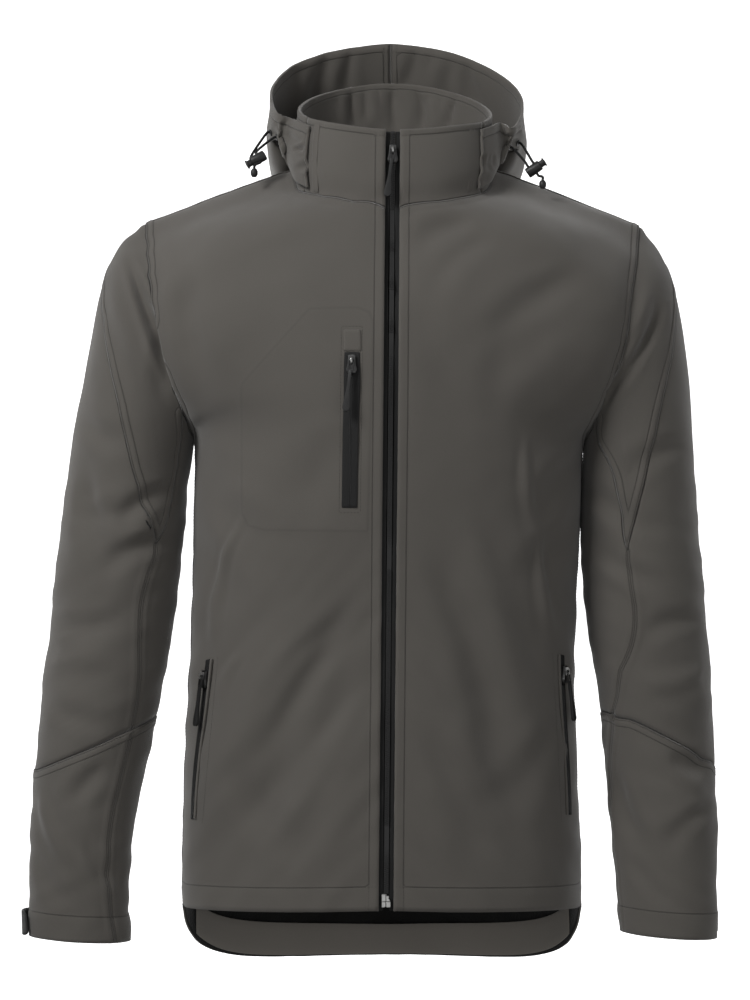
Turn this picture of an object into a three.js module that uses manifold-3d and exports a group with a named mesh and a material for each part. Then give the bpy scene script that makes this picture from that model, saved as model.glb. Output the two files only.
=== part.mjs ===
// Hooded softshell jacket in its worn, hollow shape, with no wearer in it.
// Millimetres, +Z up, the front faces -Y and +X is the viewer's right (the wearer's left).
// The origin is the middle of the neck's base, level with the high shoulder points.
// Names ending in _r are on the wearer's right (-X) and _l on the wearer's left (+X).
import * as THREE from 'three';
import { mergeVertices } from 'three/addons/utils/BufferGeometryUtils.js';
import Module from 'manifold-3d';

const wasm = await Module();
wasm.setup();

// Cloth and trim thicknesses, in millimetres
const SHELL_WALL = 2.0;
const COLLAR_WALL = 3.6;
const HOOD_WALL = 2.4;
const FACING_WALL = 1.0;
const TAPE_WALL = 1.0;
const STRAP_WALL = 1.4;
const SEAM_GAP = 0.3;
const LAID_GAP = 0.45;

// Grid counts: rows run from the hem to the shoulder seam, columns from the middle to the side
const HALF_COLUMNS = 10;
const ARMPIT_ROW = 12;
const FRONT_NECK_ROW = 17;
const BACK_NECK_ROW = 18;
const SHOULDER_ROW = 22;
const ARMHOLE_STEPS = SHOULDER_ROW - ARMPIT_ROW;
const RING_COLUMNS = 2 * ARMHOLE_STEPS;

// Front zip: half the visible width between the fronts, and its centre line
const ZIP_HALF = 6.6;
const ZIP_TOP = { x: -0.4, z: 30.6 };
const ZIP_FOOT = { x: -7.1, z: -688.3 };

const COLOURS = {
  cloth: 0x5c5954, rubber: 0x161515, tape: 0x232323, metal: 0xb9b9b6, plastic: 0x1a1a1a,
};

const vec = (x, y, z) => new THREE.Vector3(x, y, z);
const radians = THREE.MathUtils.degToRad;

// Smooth curve of every named column of a table against its key column
function smoothTable(rows, key) {
  const names = Object.keys(rows[0]).filter((name) => name !== key);
  const slope = (name, i) => {
    const a = rows[Math.max(i - 1, 0)];
    const b = rows[Math.min(i + 1, rows.length - 1)];
    return (b[name] - a[name]) / (b[key] - a[key]);
  };
  return (at) => {
    let i = 0;
    while (i < rows.length - 2 && at > rows[i + 1][key]) i += 1;
    const step = rows[i + 1][key] - rows[i][key];
    const t = Math.min(Math.max((at - rows[i][key]) / step, 0), 1);
    const result = {};
    for (const name of names) {
      const rise = rows[i][name];
      const end = rows[i + 1][name];
      const h1 = t * t * (3 - 2 * t);
      const h2 = t * (1 - t) * (1 - t) * step;
      const h3 = -t * t * (1 - t) * step;
      result[name] = rise + (end - rise) * h1 + slope(name, i) * h2 + slope(name, i + 1) * h3;
    }
    return result;
  };
}

// Evenly spaced points on the smooth curve through a short list of named stations
function spacedPoints(stations, steps) {
  const curve = new THREE.CatmullRomCurve3(stations.map((s) => vec(s.x, s.y, s.z)), false, 'centripetal');
  return Array.from({ length: steps + 1 }, (_, i) => curve.getPointAt(i / steps));
}

// Torso tables. The inner edge is the centre front or back up to the neck, the outer edge the side seam.
const FRONT_CENTRE = smoothTable([
  { row: 0, y: -135, z: -688.3 },
  { row: 3, y: -131, z: -570 },
  { row: 6, y: -128, z: -452 },
  { row: 9, y: -134, z: -343 },
  { row: 12, y: -140, z: -238 },
  { row: 14, y: -134, z: -158 },
  { row: 15.5, y: -117, z: -99 },
  { row: 17, y: -88, z: -42.5 },
], 'row');
const BACK_CENTRE = smoothTable([
  { row: 0, y: 125, z: -762 },
  { row: 3, y: 119, z: -630 },
  { row: 6, y: 112, z: -490 },
  { row: 9, y: 118, z: -365 },
  { row: 12, y: 128, z: -240 },
  { row: 15, y: 119, z: -110 },
  { row: 18, y: 80, z: 8 },
], 'row');
const SIDE_SEAM = {
  r: smoothTable([
    { row: 0, x: -199.5, y: -5, z: -698 },
    { row: 3, x: -198.5, y: -5, z: -590 },
    { row: 6, x: -193, y: -5, z: -480 },
    { row: 9, x: -189, y: -5, z: -370 },
    { row: 12, x: -188, y: -5, z: -257 },
  ], 'row'),
  l: smoothTable([
    { row: 0, x: 178.6, y: -5, z: -698 },
    { row: 3, x: 175.5, y: -5, z: -590 },
    { row: 6, x: 171.5, y: -5, z: -480 },
    { row: 9, x: 175.5, y: -5, z: -370 },
    { row: 12, x: 180.5, y: -5, z: -261 },
  ], 'row'),
};
// Handles of each row's curve: how far across it stays level with the centre, and its reach at the side
const FRONT_HANDLES = smoothTable([
  { row: 0, near: 0.6, nearY: 0, far: 1, farY: -70 },
  { row: 6, near: 0.6, nearY: 0, far: 1, farY: -68 },
  { row: 12, near: 0.6, nearY: 0, far: 1, farY: -76 },
  { row: 14, near: 0.56, nearY: -4, far: 1, farY: -52 },
  { row: 17, near: 0.45, nearY: -30, far: 0.95, farY: -30 },
  { row: 20, near: 0.4, nearY: -15, far: 0.8, farY: -13 },
  { row: 22, near: 0.33, nearY: 0, far: 0.67, farY: 0 },
], 'row');
const BACK_HANDLES = smoothTable([
  { row: 0, near: 0.6, nearY: 0, far: 1, farY: 66 },
  { row: 6, near: 0.6, nearY: 0, far: 1, farY: 64 },
  { row: 12, near: 0.6, nearY: 0, far: 1, farY: 74 },
  { row: 14, near: 0.56, nearY: 2, far: 1, farY: 48 },
  { row: 18, near: 0.45, nearY: 18, far: 0.92, farY: 18 },
  { row: 20, near: 0.4, nearY: 9, far: 0.8, farY: 9 },
  { row: 22, near: 0.33, nearY: 0, far: 0.67, farY: 0 },
], 'row');

// Armholes from the armpit up to the shoulder point
const ARMHOLES = {
  r: {
    front: [
      { x: -188, y: -5, z: -257 }, { x: -194, y: -45, z: -240 }, { x: -204.3, y: -66, z: -216 },
      { x: -216.6, y: -74, z: -176 }, { x: -224.2, y: -68, z: -133 }, { x: -230.8, y: -40, z: -87.4 },
      { x: -235.6, y: 8, z: -49.4 },
    ],
    back: [
      { x: -188, y: -5, z: -257 }, { x: -193, y: 42, z: -242 }, { x: -202, y: 72, z: -214 },
      { x: -213, y: 84, z: -172 }, { x: -222, y: 78, z: -128 }, { x: -230, y: 50, z: -84 },
      { x: -235.6, y: 8, z: -49.4 },
    ],
  },
  l: {
    front: [
      { x: 180.5, y: -5, z: -261 }, { x: 187, y: -45, z: -243 }, { x: 197, y: -66, z: -218 },
      { x: 213, y: -74, z: -175 }, { x: 221.5, y: -68, z: -131 }, { x: 229.5, y: -40, z: -88 },
      { x: 234.7, y: 8, z: -52 },
    ],
    back: [
      { x: 180.5, y: -5, z: -261 }, { x: 186, y: 42, z: -245 }, { x: 196, y: 72, z: -216 },
      { x: 210, y: 84, z: -173 }, { x: 220, y: 78, z: -129 }, { x: 229, y: 50, z: -86 },
      { x: 234.7, y: 8, z: -52 },
    ],
  },
};

// Neckline from the centre front to the high shoulder point, and from there to the centre back
const NECK_FRONT = [
  { x: 0, y: -88, z: -42.5 }, { x: 32, y: -84, z: -38.5 }, { x: 61, y: -71, z: -32 },
  { x: 81, y: -50, z: -26.5 }, { x: 91, y: -24, z: -17 }, { x: 91, y: 5, z: 4 },
];
const NECK_BACK = [
  { x: 0, y: 80, z: 8 }, { x: 30, y: 76.5, z: 9 }, { x: 58, y: 62, z: 9.5 },
  { x: 80, y: 38, z: 8 }, { x: 91, y: 5, z: 4 },
];
// Top of the collar over the same stations
const COLLAR_TOP = {
  r: [
    { x: -7, y: -76, z: 30.6 }, { x: -35, y: -71, z: 34 }, { x: -62, y: -57, z: 40 },
    { x: -79, y: -36, z: 46 }, { x: -88, y: -10, z: 54 }, { x: -90, y: 14, z: 61 },
    { x: -80, y: 43, z: 73 }, { x: -58, y: 66, z: 83 }, { x: -30, y: 80, z: 90 }, { x: 0, y: 84, z: 92.5 },
  ],
  l: [
    { x: 6.2, y: -76, z: 30.6 }, { x: 37, y: -71, z: 33 }, { x: 65, y: -57, z: 37.5 },
    { x: 83, y: -36, z: 42 }, { x: 92, y: -10, z: 49 }, { x: 94, y: 14, z: 56 },
    { x: 84, y: 43, z: 69 }, { x: 60, y: 66, z: 81 }, { x: 31, y: 80, z: 89.5 }, { x: 0, y: 84, z: 92.5 },
  ],
};

// Sleeve rings, a row each: the outer and inner ends in the front view, and the middle and reach in depth
const SLEEVES = {
  r: {
    rings: smoothTable([
      { ring: 0, outX: -235.6, outZ: -49.4, inX: -188, inZ: -257, midY: 5, reach: 77 },
      { ring: 1, outX: -259.5, outZ: -71.1, inX: -190.1, inZ: -270.7, midY: 5, reach: 77 },
      { ring: 2, outX: -274.7, outZ: -104.4, inX: -193, inZ: -286.9, midY: 4.5, reach: 76 },
      { ring: 3, outX: -283.8, outZ: -142.4, inX: -195.8, inZ: -303, midY: 4, reach: 74.5 },
      { ring: 4, outX: -291.7, outZ: -185.2, inX: -196.7, inZ: -318.3, midY: 3, reach: 72.5 },
      { ring: 5, outX: -300.2, outZ: -232.8, inX: -197.6, inZ: -335.4, midY: 2, reach: 70 },
      { ring: 6, outX: -308.6, outZ: -285, inX: -199.4, inZ: -354.3, midY: 0, reach: 68 },
      { ring: 7, outX: -315.9, outZ: -342, inX: -202.1, inZ: -379.9, midY: -3, reach: 65 },
      { ring: 8, outX: -322.1, outZ: -398.8, inX: -205.6, inZ: -413, midY: -6, reach: 62 },
      { ring: 9, outX: -327.3, outZ: -455.4, inX: -212.9, inZ: -464.8, midY: -9, reach: 60 },
      { ring: 10, outX: -333.3, outZ: -511.7, inX: -223.8, inZ: -519.2, midY: -12, reach: 58 },
      { ring: 11, outX: -338.1, outZ: -567.7, inX: -234.6, inZ: -575.2, midY: -19, reach: 53 },
      { ring: 12, outX: -341.1, outZ: -623.4, inX: -244.3, inZ: -628.1, midY: -29, reach: 48 },
      { ring: 13, outX: -342.3, outZ: -679, inX: -247.7, inZ: -681.8, midY: -38, reach: 44 },
      { ring: 14, outX: -341.1, outZ: -720.8, inX: -246.5, inZ: -726.4, midY: -43, reach: 42 },
    ], 'ring'),
    // Turn of the seam columns round the arm, in degrees
    turn: smoothTable([
      { ring: 0, degrees: 0 }, { ring: 4, degrees: 0 }, { ring: 6.45, degrees: -14 },
      { ring: 8, degrees: -24 }, { ring: 10, degrees: -13 }, { ring: 12, degrees: -19 },
      { ring: 14, degrees: -6 },
    ], 'ring'),
    // Lower edge of the shoulder cap, ring by column
    capEdge: [0, 0.7, 1.25, 1.75, 2.2, 2.65, 3.15, 3.7, 4.45, 5.15, 5.8, 6.45],
  },
  l: {
    rings: smoothTable([
      { ring: 0, outX: 234.7, outZ: -52, inX: 180.5, inZ: -261, midY: 5, reach: 77 },
      { ring: 1, outX: 253.8, outZ: -77.8, inX: 179.7, inZ: -277.4, midY: 5, reach: 77 },
      { ring: 2, outX: 266.2, outZ: -109.1, inX: 178.9, inZ: -294.5, midY: 4.5, reach: 76 },
      { ring: 3, outX: 274.7, outZ: -147.1, inX: 178.4, inZ: -310.6, midY: 4, reach: 74.5 },
      { ring: 4, outX: 280.3, outZ: -190, inX: 178.2, inZ: -325.9, midY: 3, reach: 72.5 },
      { ring: 5, outX: 284, outZ: -237.5, inX: 178.2, inZ: -342, midY: 2, reach: 70 },
      { ring: 6, outX: 286.7, outZ: -289.8, inX: 178.4, inZ: -359.1, midY: 0, reach: 68 },
      { ring: 7, outX: 290.2, outZ: -342, inX: 179, inZ: -381.8, midY: -3, reach: 65 },
      { ring: 8, outX: 294.6, outZ: -398.8, inX: 181.6, inZ: -411.1, midY: -6, reach: 62 },
      { ring: 9, outX: 298.8, outZ: -455.4, inX: 188.1, inZ: -460.1, midY: -9, reach: 60 },
      { ring: 10, outX: 302.8, outZ: -511.7, inX: 197.1, inZ: -514.5, midY: -12, reach: 58 },
      { ring: 11, outX: 303.9, outZ: -567.7, inX: 200.4, inZ: -572.4, midY: -19, reach: 53 },
      { ring: 12, outX: 305, outZ: -623.4, inX: 206.4, inZ: -625.3, midY: -29, reach: 48 },
      { ring: 13, outX: 304.4, outZ: -679, inX: 210.6, inZ: -677.1, midY: -38, reach: 44 },
      { ring: 14, outX: 303.1, outZ: -723.6, inX: 213.2, inZ: -717.1, midY: -43, reach: 42 },
    ], 'ring'),
    turn: smoothTable([
      { ring: 0, degrees: 0 }, { ring: 2, degrees: -12 }, { ring: 3.6, degrees: -24 },
      { ring: 5.6, degrees: -32 }, { ring: 7, degrees: -38 }, { ring: 8.5, degrees: -38 },
      { ring: 10, degrees: -34 }, { ring: 12, degrees: -45 }, { ring: 14, degrees: -45 },
    ], 'ring'),
    capEdge: [0, 0.5, 0.95, 1.4, 1.95, 2.4, 2.85, 3.35, 3.85, 4.7, 5.75, 6.85],
  },
};
const CAP_FIRST_COLUMN = -3;
const FRONT_SEAM_COLUMN = 8;
const CAP_ROWS = 5;
const UPPER_ROWS = 4;
const LOWER_ROWS = 5;
const CUFF_RING = 14;
const ELBOW_RING = 10.5;
const ELBOW_TILT = 0.53;

// Largest folds, as soft troughs (negative) and ridges (positive) between two points seen from the front
const FRONT_FOLDS = [
  { x1: -45, z1: -420, x2: -133, z2: -596, width: 26, depth: -4.5 },
  { x1: -50, z1: -483, x2: -148, z2: -637, width: 24, depth: -4 },
  { x1: -85, z1: -440, x2: -165, z2: -560, width: 24, depth: 3 },
  { x1: 49, z1: -389, x2: 112, z2: -585, width: 28, depth: -4.5 },
  { x1: 88, z1: -400, x2: 140, z2: -560, width: 26, depth: 3 },
  { x1: 178, z1: -96, x2: 87, z2: -173, width: 26, depth: -4 },
  { x1: 76, z1: -44, x2: 14, z2: -75, width: 20, depth: -3 },
  { x1: -196, z1: -95, x2: -184, z2: -198, width: 20, depth: -3.5 },
  { x1: -297, z1: -286, x2: -269, z2: -379, width: 22, depth: -3 },
  { x1: -330, z1: -436, x2: -262, z2: -430, width: 18, depth: -3 },
  { x1: -334, z1: -477, x2: -262, z2: -472, width: 18, depth: 2.5 },
  { x1: 261, z1: -556, x2: 300, z2: -560, width: 20, depth: -3 },
  { x1: 210, z1: -575, x2: 236, z2: -647, width: 20, depth: -3 },
  { x1: 296, z1: -430, x2: 236, z2: -446, width: 18, depth: -2.5 },
];
const BACK_FOLDS = [
  { x1: -40, z1: -380, x2: -150, z2: -560, width: 30, depth: -4.5 },
  { x1: 46, z1: -400, x2: 140, z2: -585, width: 30, depth: -4.5 },
  { x1: -10, z1: -470, x2: 20, z2: -690, width: 32, depth: 3.5 },
  { x1: -182, z1: -130, x2: -90, z2: -230, width: 26, depth: -3.5 },
  { x1: 178, z1: -140, x2: 92, z2: -226, width: 26, depth: -3.5 },
  { x1: -330, z1: -420, x2: -258, z2: -440, width: 20, depth: -3 },
  { x1: 296, z1: -425, x2: 232, z2: -445, width: 20, depth: -3 },
];

// Soft bump along a line: full in its middle, fading at its ends and sides
function foldAt(fold, point) {
  const dx = fold.x2 - fold.x1;
  const dz = fold.z2 - fold.z1;
  const length = Math.hypot(dx, dz);
  const along = ((point.x - fold.x1) * dx + (point.z - fold.z1) * dz) / length;
  const across = ((point.x - fold.x1) * dz - (point.z - fold.z1) * dx) / length;
  const past = Math.max(-along, along - length, 0);
  return fold.depth * Math.exp(-((across / fold.width) ** 2) - (past / (1.6 * fold.width)) ** 2);
}

function foldDepth(point, normal) {
  const list = normal.y < 0 ? FRONT_FOLDS : BACK_FOLDS;
  const facing = Math.min(Math.abs(normal.y) * 1.6, 1);
  return facing * list.reduce((sum, fold) => sum + foldAt(fold, point), 0);
}

// A cloth piece: grids of outer points welded together by their place
const placeKey = (p) => `${Math.round(p.x * 200)}_${Math.round(p.y * 200)}_${Math.round(p.z * 200)}`;

class ClothPiece {
  constructor(name, colour, wall, grids, faceOut = 1) {
    this.name = name;
    this.colour = colour;
    this.wall = wall;
    this.points = [];
    this.keys = [];
    this.faces = [];
    const index = new Map();
    const weld = (point) => {
      const key = placeKey(point);
      if (!index.has(key)) {
        index.set(key, this.points.length);
        this.points.push(point.clone());
        this.keys.push(key);
      }
      return index.get(key);
    };
    this.grids = grids.map((grid) => grid.map((row) => row.map(weld)));
    for (const ids of this.grids) {
      for (let i = 0; i + 1 < ids.length; i += 1) {
        for (let j = 0; j + 1 < ids[0].length; j += 1) {
          let loop = [ids[i][j], ids[i][j + 1], ids[i + 1][j + 1], ids[i + 1][j]];
          loop = loop.filter((id, k) => id !== loop[(k + 1) % 4]);
          if (faceOut < 0) loop.reverse();
          if (new Set(loop).size >= 3) this.faces.push(loop);
        }
      }
    }
  }
}

// Face normal with the face's area as its length
function faceNormal(piece, loop) {
  const normal = vec(0, 0, 0);
  for (let k = 1; k + 1 < loop.length; k += 1) {
    const a = piece.points[loop[0]];
    const b = piece.points[loop[k]];
    const c = piece.points[loop[k + 1]];
    normal.add(b.clone().sub(a).cross(c.clone().sub(a)));
  }
  return normal;
}

// Normals shared by every piece that meets at a point
function shareNormals(pieces) {
  const sums = new Map();
  for (const piece of pieces) {
    for (const loop of piece.faces) {
      const normal = faceNormal(piece, loop);
      for (const id of loop) {
        if (!sums.has(piece.keys[id])) sums.set(piece.keys[id], vec(0, 0, 0));
        sums.get(piece.keys[id]).add(normal);
      }
    }
  }
  for (const piece of pieces) {
    piece.normals = piece.keys.map((key) => sums.get(key).clone().normalize());
  }
}

// Push the folds into the points, then find the normals again
function foldPieces(pieces) {
  shareNormals(pieces);
  for (const piece of pieces) {
    piece.points.forEach((p, id) => {
      p.addScaledVector(piece.normals[id], foldDepth(p, piece.normals[id]));
    });
  }
  shareNormals(pieces);
}

// Edges with a face on one side only, in the direction of that face
function openEdges(piece) {
  const edges = new Map();
  for (const loop of piece.faces) {
    loop.forEach((a, k) => {
      const b = loop[(k + 1) % loop.length];
      if (!edges.delete(`${b}_${a}`)) edges.set(`${a}_${b}`, [a, b]);
    });
  }
  return [...edges.values()];
}

// Triangles of a loop, always split the same way
const fan = (loop) => loop.slice(2).map((_, k) => [loop[0], loop[k + 1], loop[k + 2]]);

// Closed wall: the outer points, drawn back half a seam gap at open edges, and a copy one wall inwards
function wallGeometry(piece) {
  const edges = openEdges(piece);
  const pulls = new Map();
  for (const [a, b] of edges) {
    const along = piece.points[b].clone().sub(piece.points[a]).normalize();
    for (const id of [a, b]) {
      const into = piece.normals[id].clone().cross(along).normalize();
      if (!pulls.has(id)) pulls.set(id, []);
      pulls.get(id).push(into);
    }
  }
  const outer = piece.points.map((p, id) => {
    const intos = pulls.get(id);
    if (!intos) return p.clone();
    const sum = intos.reduce((total, into) => total.add(into), vec(0, 0, 0));
    const reach = Math.max(sum.lengthSq() / intos.length, 0.4);
    return p.clone().addScaledVector(sum, (SEAM_GAP / 2) / reach);
  });
  const count = outer.length;
  const inner = outer.map((p, id) => p.clone().addScaledVector(piece.normals[id], -piece.wall));
  const triangles = [];
  for (const loop of piece.faces) {
    for (const [a, b, c] of fan(loop)) {
      triangles.push(a, b, c, a + count, c + count, b + count);
    }
  }
  for (const [a, b] of edges) {
    if (piece.keys[a] < piece.keys[b]) triangles.push(b, a, a + count, b, a + count, b + count);
    else triangles.push(b, a, b + count, a, a + count, b + count);
  }
  piece.outer = outer;
  return solidGeometry([...outer, ...inner], triangles);
}

function solidGeometry(points, triangles) {
  const geometry = new THREE.BufferGeometry();
  const numbers = points.flatMap((p) => [p.x, p.y, p.z]);
  geometry.setAttribute('position', new THREE.Float32BufferAttribute(numbers, 3));
  geometry.setIndex(triangles);
  return geometry;
}

const jacket = new THREE.Group();

function addMesh(name, geometry, colour, roughness = 0.85, metalness = 0) {
  const material = new THREE.MeshStandardMaterial({ color: colour, roughness, metalness });
  const mesh = new THREE.Mesh(geometry, material);
  mesh.name = name;
  jacket.add(mesh);
}

// Torso
const sign = { r: -1, l: 1 };
const zipX = (z) => THREE.MathUtils.mapLinear(z, ZIP_TOP.z, ZIP_FOOT.z, ZIP_TOP.x, ZIP_FOOT.x);
const mirrored = (stations, side) => stations.map((s) => ({ x: s.x * sign[side], y: s.y, z: s.z }));

function rowCurve(inner, outer, handles) {
  const near = vec(
    inner.x + handles.near * (outer.x - inner.x),
    inner.y + handles.nearY,
    inner.z + (outer.z - inner.z) / 3,
  );
  const far = vec(
    inner.x + handles.far * (outer.x - inner.x),
    outer.y + handles.farY,
    inner.z + ((outer.z - inner.z) * 2) / 3,
  );
  const curve = new THREE.CubicBezierCurve3(inner, near, far, outer);
  return Array.from({ length: HALF_COLUMNS + 1 }, (_, j) => curve.getPointAt(j / HALF_COLUMNS));
}

const armholePoints = {};
const neckFrontPoints = {};
for (const side of ['r', 'l']) {
  armholePoints[side] = {
    front: spacedPoints(ARMHOLES[side].front, ARMHOLE_STEPS),
    back: spacedPoints(ARMHOLES[side].back, ARMHOLE_STEPS),
  };
  const stations = mirrored(NECK_FRONT, side);
  stations[0].x = zipX(stations[0].z) + sign[side] * ZIP_HALF;
  neckFrontPoints[side] = spacedPoints(stations, SHOULDER_ROW - FRONT_NECK_ROW);
}

function outerPoint(side, face, row) {
  if (row >= ARMPIT_ROW) return armholePoints[side][face][row - ARMPIT_ROW];
  const seam = SIDE_SEAM[side](row);
  return vec(seam.x, seam.y, seam.z);
}

function frontGrid(side) {
  return Array.from({ length: SHOULDER_ROW + 1 }, (_, row) => {
    const centre = FRONT_CENTRE(Math.min(row, FRONT_NECK_ROW));
    const inner = row < FRONT_NECK_ROW
      ? vec(zipX(centre.z) + sign[side] * ZIP_HALF, centre.y, centre.z)
      : neckFrontPoints[side][row - FRONT_NECK_ROW];
    return rowCurve(inner, outerPoint(side, 'front', row), FRONT_HANDLES(row));
  });
}

// The back's lower edge drops quickly behind the side seams into its tail
const tailDrop = (share) => 1 - (1 - share) ** 5;

function backGrid(side) {
  const neck = spacedPoints(mirrored(NECK_BACK, side), SHOULDER_ROW - BACK_NECK_ROW);
  return Array.from({ length: SHOULDER_ROW + 1 }, (_, row) => {
    const centre = BACK_CENTRE(Math.min(row, BACK_NECK_ROW));
    const inner = row < BACK_NECK_ROW ? vec(0, centre.y, centre.z) : neck[row - BACK_NECK_ROW];
    const outer = outerPoint(side, 'back', row);
    const points = rowCurve(inner, outer, BACK_HANDLES(row));
    const tail = Math.max(1 - row / 4, 0);
    points.forEach((p, j) => {
      const share = 1 - j / HALF_COLUMNS;
      const dropped = outer.z + (inner.z - outer.z) * tailDrop(share);
      p.z = THREE.MathUtils.lerp(p.z, dropped, tail);
    });
    return points;
  });
}

// Collar over the neckline's own points, with a slight swell at half height
const COLLAR_ROWS = 4;
const COLLAR_SWELL = 2.5;
const COLLAR_FRONT_COLUMNS = 3;

function collarGrid(side) {
  const neckBack = spacedPoints(mirrored(NECK_BACK, side), SHOULDER_ROW - BACK_NECK_ROW);
  const base = [...neckFrontPoints[side], ...neckBack.reverse().slice(1)];
  const top = spacedPoints(COLLAR_TOP[side], base.length - 1);
  return Array.from({ length: COLLAR_ROWS + 1 }, (_, i) => base.map((low, j) => {
    const t = i / COLLAR_ROWS;
    const point = low.clone().lerp(top[j], t);
    const out = vec(point.x, point.y, 0).normalize();
    return point.addScaledVector(out, COLLAR_SWELL * Math.sin(Math.PI * t));
  }));
}

// Sleeve surface at a column of the armhole and a ring down the arm
function sleevePoint(side, column, ring) {
  const table = SLEEVES[side];
  const row = table.rings(ring);
  const angle = (2 * Math.PI * column) / RING_COLUMNS + radians(table.turn(ring).degrees);
  const middle = vec((row.outX + row.inX) / 2, row.midY, (row.outZ + row.inZ) / 2);
  const half = vec((row.outX - row.inX) / 2, 0, (row.outZ - row.inZ) / 2);
  const round = middle.addScaledVector(half, Math.cos(angle));
  round.y -= row.reach * Math.sin(angle);
  if (ring >= 2) return round;
  const loop = armholePoints[side];
  const wrapped = ((column % RING_COLUMNS) + RING_COLUMNS) % RING_COLUMNS;
  const low = Math.floor(wrapped);
  const pick = (c) => (c <= ARMHOLE_STEPS ? loop.front[ARMHOLE_STEPS - c] : loop.back[c - ARMHOLE_STEPS]);
  const edge = pick(low).clone().lerp(pick(Math.min(low + 1, RING_COLUMNS)), wrapped - low);
  const start = table.rings(0);
  const nominal = vec((start.outX + start.inX) / 2, start.midY, (start.outZ + start.inZ) / 2);
  nominal.addScaledVector(vec(start.outX - start.inX, 0, start.outZ - start.inZ), Math.cos(angle) / 2);
  nominal.y -= start.reach * Math.sin(angle);
  const keep = (1 - ring / 2) ** 2;
  return round.add(edge.sub(nominal).multiplyScalar(keep));
}

const elbowRing = (column) => ELBOW_RING + ELBOW_TILT * Math.cos((2 * Math.PI * (column - 1)) / RING_COLUMNS);

function sleeveGrids(side) {
  const edge = SLEEVES[side].capEdge;
  const apex = edge[edge.length - 1];
  const grid = (columns, rows, ringAt) => Array.from({ length: rows + 1 }, (_, i) => (
    columns.map((c) => sleevePoint(side, c, ringAt(c, i / rows)))
  ));
  const range = (from, to) => Array.from({ length: to - from + 1 }, (_, k) => from + k);
  const round = range(FRONT_SEAM_COLUMN, FRONT_SEAM_COLUMN + RING_COLUMNS);
  const top = (c) => (c < RING_COLUMNS + CAP_FIRST_COLUMN ? 0 : edge[c - RING_COLUMNS - CAP_FIRST_COLUMN]);
  return {
    cap: grid(range(CAP_FIRST_COLUMN, FRONT_SEAM_COLUMN), CAP_ROWS, (c, t) => edge[c - CAP_FIRST_COLUMN] * t),
    upper: [
      grid(round, CAP_ROWS, (c, t) => top(c) + (apex - top(c)) * t),
      grid(round, UPPER_ROWS, (c, t) => apex + (elbowRing(c) - apex) * t),
    ],
    lower: grid(round, LOWER_ROWS, (c, t) => elbowRing(c) + (CUFF_RING - elbowRing(c)) * t),
  };
}

const fronts = { r: frontGrid('r'), l: frontGrid('l') };
const backs = { r: backGrid('r'), l: backGrid('l') };
const collars = { r: collarGrid('r'), l: collarGrid('l') };
const bodyPieces = [];
const pieceByName = {};

function addPiece(name, wall, grids, faceOut, list = bodyPieces) {
  const piece = new ClothPiece(name, COLOURS.cloth, wall, grids, faceOut);
  list.push(piece);
  pieceByName[name] = piece;
  return piece;
}

for (const side of ['r', 'l']) {
  const out = side === 'r' ? -1 : 1;
  addPiece(`front_${side}`, SHELL_WALL, [fronts[side]], out);
  const collarFront = collars[side].map((row) => row.slice(0, COLLAR_FRONT_COLUMNS + 1));
  addPiece(`collar_front_${side}`, COLLAR_WALL, [collarFront], out);
  const sleeve = sleeveGrids(side);
  addPiece(`sleeve_cap_${side}`, SHELL_WALL, [sleeve.cap], out);
  addPiece(`sleeve_upper_${side}`, SHELL_WALL, sleeve.upper, out);
  addPiece(`sleeve_lower_${side}`, SHELL_WALL, [sleeve.lower], out);
}
// The two halves of the back share their centre points up to the neck
const turnedRows = (rows) => rows.map((row) => [...row].reverse());
addPiece('back', SHELL_WALL, [turnedRows(backs.r), backs.l], -1);
const collarBackHalf = (side) => collars[side].map((row) => row.slice(COLLAR_FRONT_COLUMNS));
const otherHalf = turnedRows(collarBackHalf('l'));
addPiece('collar_back', COLLAR_WALL, [
  collarBackHalf('r').map((row, i) => [...row, ...otherHalf[i].slice(1)]),
], -1);
foldPieces(bodyPieces);
for (const piece of bodyPieces) addMesh(piece.name, wallGeometry(piece), piece.colour);

// Point and normal on a finished piece at a fractional row and column of one of its grids
function surfaceAt(piece, row, column, lift = 0, gridIndex = 0) {
  const ids = piece.grids[gridIndex];
  const i = Math.min(Math.max(Math.floor(row), 0), ids.length - 2);
  const j = Math.min(Math.max(Math.floor(column), 0), ids[0].length - 2);
  const u = row - i;
  const v = column - j;
  const blend = (list) => {
    const low = list[ids[i][j]].clone().lerp(list[ids[i][j + 1]], v);
    const high = list[ids[i + 1][j]].clone().lerp(list[ids[i + 1][j + 1]], v);
    return low.lerp(high, u);
  };
  const normal = blend(piece.normals).normalize();
  return { point: blend(piece.outer).addScaledVector(normal, lift), normal };
}

// Row and column of the panel point seen from the front at x, z
function gridPlace(piece, x, z) {
  const ids = piece.grids[0];
  let best = { miss: Infinity };
  for (let i = 0; i + 1 < ids.length; i += 1) {
    for (let j = 0; j + 1 < ids[0].length; j += 1) {
      const a = piece.outer[ids[i][j]];
      const b = piece.outer[ids[i][j + 1]];
      const c = piece.outer[ids[i + 1][j]];
      const det = (b.x - a.x) * (c.z - a.z) - (c.x - a.x) * (b.z - a.z);
      const v = ((x - a.x) * (c.z - a.z) - (c.x - a.x) * (z - a.z)) / det;
      const u = ((b.x - a.x) * (z - a.z) - (x - a.x) * (b.z - a.z)) / det;
      const miss = Math.max(-u, -v, u - 1, v - 1, 0);
      if (miss < best.miss) best = { miss, row: i + u, column: j + v };
    }
  }
  return best;
}

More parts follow.
